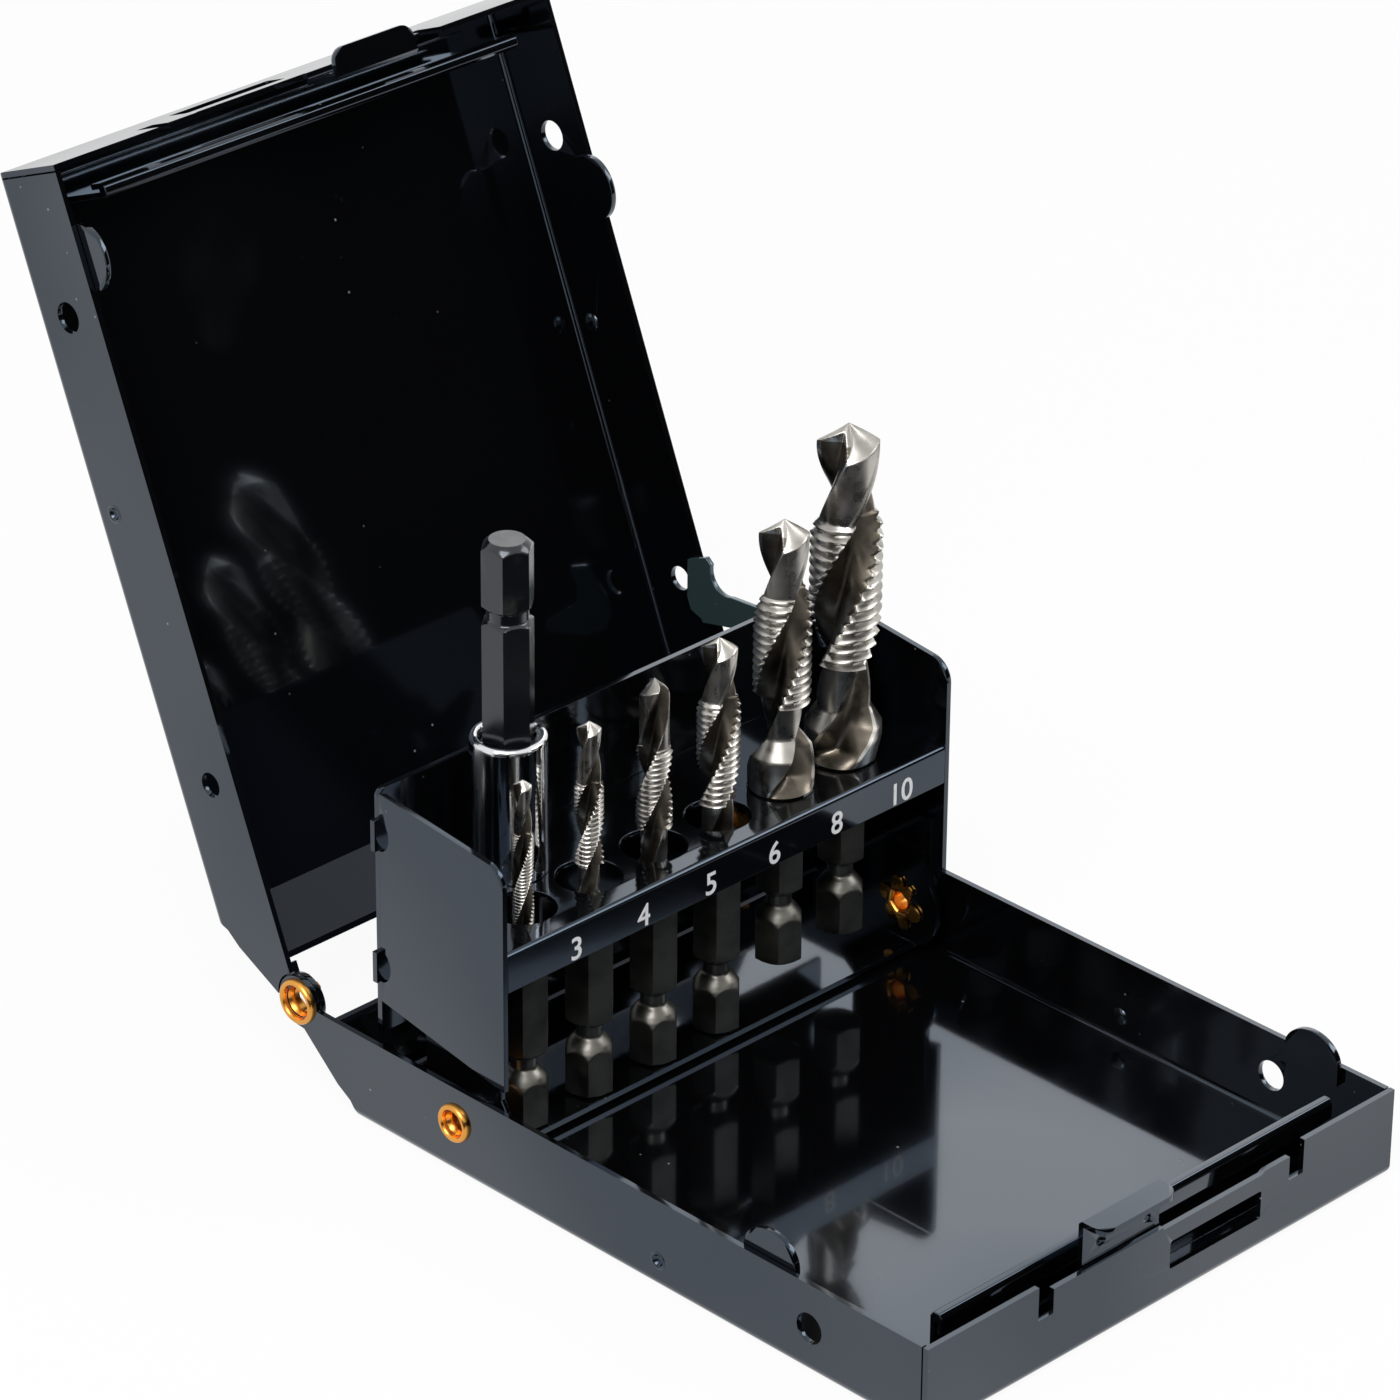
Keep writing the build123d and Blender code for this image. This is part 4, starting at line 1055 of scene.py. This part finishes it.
# ---------------------------------------------------------------- operators
class CASE_OT_enamel(Operator):
    """Finish the shells, ribs, lug and rack in black gloss enamel"""

    bl_idname = "bit_case.enamel"
    bl_label = "Enamel Sheet Metal"

    def execute(self, context):
        settings = context.scene.case_enamel
        material = gloss_enamel("black_enamel", tuple(settings.colour), settings)
        for node in ENAMEL_NODES:
            dress(node, material, settings.edge_radius)
        thin_coat = gloss_enamel("thin_coat_enamel", tuple(settings.lug_colour), settings)
        dress("lid_lug", thin_coat, settings.edge_radius)
        return {"FINISHED"}


class CASE_OT_dimples(Operator):
    """Press a blind dimple into each side wall of both shells"""

    bl_idname = "bit_case.dimples"
    bl_label = "Press Dimples"

    def execute(self, context):
        enamel = bpy.data.materials["black_enamel"]
        for body, place in (("base", (DIMPLE_Y, DIMPLE_Z)), ("lid", on_open_lid(DIMPLE_Y, DIMPLE_Z))):
            piece_from("pressed_dimples_" + body, *dimple_pair(*place), [enamel], body, "enamel", 50.0)
        return {"FINISHED"}


class CASE_OT_tap_bits(Operator):
    """Make the six fluted and threaded bits"""

    bl_idname = "bit_case.tap_bits"
    bl_label = "Make Tap Bits"

    def execute(self, context):
        steels = bit_steels(context.scene.case_steel)
        for name in BITS:
            vertices, faces, finishes = bit_skin(name)
            piece = piece_from(
                "cutting_bit_" + name, vertices, faces, steels, "tap_" + name, "tool_steel", 42.0, finishes
            )
            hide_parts("tap_" + name)
        return {"FINISHED"}


class CASE_OT_bit_holder(Operator):
    """Make the bit holder's shank and sleeve, and finish its ring and magnet"""

    bl_idname = "bit_case.bit_holder"
    bl_label = "Make Bit Holder"

    def execute(self, context):
        oxide = black_oxide(context.scene.case_steel)
        chrome = bright_plate("chrome", (0.80, 0.81, 0.83), 0.04, 0.11, 0.15 * MM)
        shank = piece_from("hexagonal_drive", *holder_skin(), [oxide], "bit_holder", "blackened", 30.0)
        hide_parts("holder_shank")
        sleeve = piece_from("rolled_sleeve", *sleeve_skin(), [chrome], "bit_holder", "chrome", 40.0)
        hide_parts("holder_sleeve")
        spring = bright_plate("spring_steel", (0.50, 0.50, 0.51), 0.18, 0.34)
        for node in PLATED_NODES:
            dress(node, spring, PLATED_EDGE * MM)
        return {"FINISHED"}


class CASE_OT_eyelets(Operator):
    """Make the rolled brass eyelets of the hinge and the rack's pivots"""

    bl_idname = "bit_case.eyelets"
    bl_label = "Make Eyelets"

    def execute(self, context):
        settings = context.scene.case_eyelets
        brass = bright_plate("brass", tuple(settings.brass), 0.2, 0.36)
        hinge_petal, pivot_petal = settings.hinge_petal / MM, settings.pivot_petal / MM
        eyelet_pair("rolled_hinge_eyelets", "hinge_eyelets", HINGE_EYELET, brass, hinge_petal)
        eyelet_pair("rolled_pivot_eyelets", "pivot_eyelets", PIVOT_EYELET, brass, pivot_petal)
        return {"FINISHED"}


class CASE_OT_size_numbers(Operator):
    """Print plain size numbers on the front lip of the shelf"""

    bl_idname = "bit_case.size_numbers"
    bl_label = "Print Size Numbers"

    def execute(self, context):
        settings = context.scene.case_numbers
        material = printed_ink(settings)
        low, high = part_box("rack_top_shelf")
        for name, (digits, offset) in NUMBERS.items():
            text = bpy.data.curves.new("number_" + digits, "FONT")
            text.body = digits
            text.size = settings.height / DIGIT_SHARE
            text.align_x = "CENTER"
            text.align_y = "CENTER"
            text.extrude = PRINT_DEPTH * MM
            text.offset = PRINT_SPREAD * MM
            text.resolution_u = 8
            written = bpy.data.objects.new("number_curve", text)
            mesh = bpy.data.meshes.new_from_object(written)
            bpy.data.objects.remove(written)
            across = (node_axis("tap_" + name)[0] + offset) * MM
            place = (across, low.y - PRINT_GAP * MM, high.z - PRINT_DROP * MM)
            upright = Matrix.Rotation(math.radians(90), 4, "X")
            mesh.transform(Matrix.Translation(place) @ upright)
            mesh.materials.clear()
            mesh.materials.append(material)
            piece = bpy.data.objects.new("size_number_" + digits, mesh)
            context.scene.collection.objects.link(piece)
            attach(piece, "rack")
        return {"FINISHED"}


class CASE_OT_studio(Operator):
    """Set the floor, the lights and the camera"""

    bl_idname = "bit_case.studio"
    bl_label = "Set Studio"

    def execute(self, context):
        make_floor(context)
        make_world(context)
        make_black_cards(context)
        make_lights(context)
        make_camera(context, context.scene.case_studio)
        context.scene.view_settings.view_transform = "Standard"
        return {"FINISHED"}


class CASE_PT_panel(Panel):
    """Steps of the bit case, in order"""

    bl_label = "Drill Bit Case"
    bl_space_type = "VIEW_3D"
    bl_region_type = "UI"
    bl_category = "Bit Case"

    def draw(self, context):
        for step in STEPS:
            self.layout.operator(step.bl_idname)
        for name, group in GROUPS.items():
            settings = getattr(context.scene, name)
            box = self.layout.box()
            for field in group.__annotations__:
                box.prop(settings, field)


STEPS = (
    CASE_OT_enamel,
    CASE_OT_dimples,
    CASE_OT_tap_bits,
    CASE_OT_bit_holder,
    CASE_OT_eyelets,
    CASE_OT_size_numbers,
    CASE_OT_studio,
)
GROUPS = {
    "case_enamel": EnamelSettings,
    "case_steel": SteelSettings,
    "case_eyelets": EyeletSettings,
    "case_numbers": NumberSettings,
    "case_studio": StudioSettings,
}


def register():
    """Adds the classes and the scene's settings."""
    for cls in (*GROUPS.values(), *STEPS, CASE_PT_panel):
        bpy.utils.register_class(cls)
    for name, group in GROUPS.items():
        setattr(bpy.types.Scene, name, PointerProperty(type=group))


def unregister():
    """Takes them away again."""
    for name in GROUPS:
        delattr(bpy.types.Scene, name)
    for cls in reversed((*GROUPS.values(), *STEPS, CASE_PT_panel)):
        bpy.utils.unregister_class(cls)


def main():
    """Runs every step."""
    register()
    bpy.ops.bit_case.enamel()
    bpy.ops.bit_case.dimples()
    bpy.ops.bit_case.tap_bits()
    bpy.ops.bit_case.bit_holder()
    bpy.ops.bit_case.eyelets()
    bpy.ops.bit_case.size_numbers()
    bpy.ops.bit_case.studio()


if __name__ == "__main__":
    main()
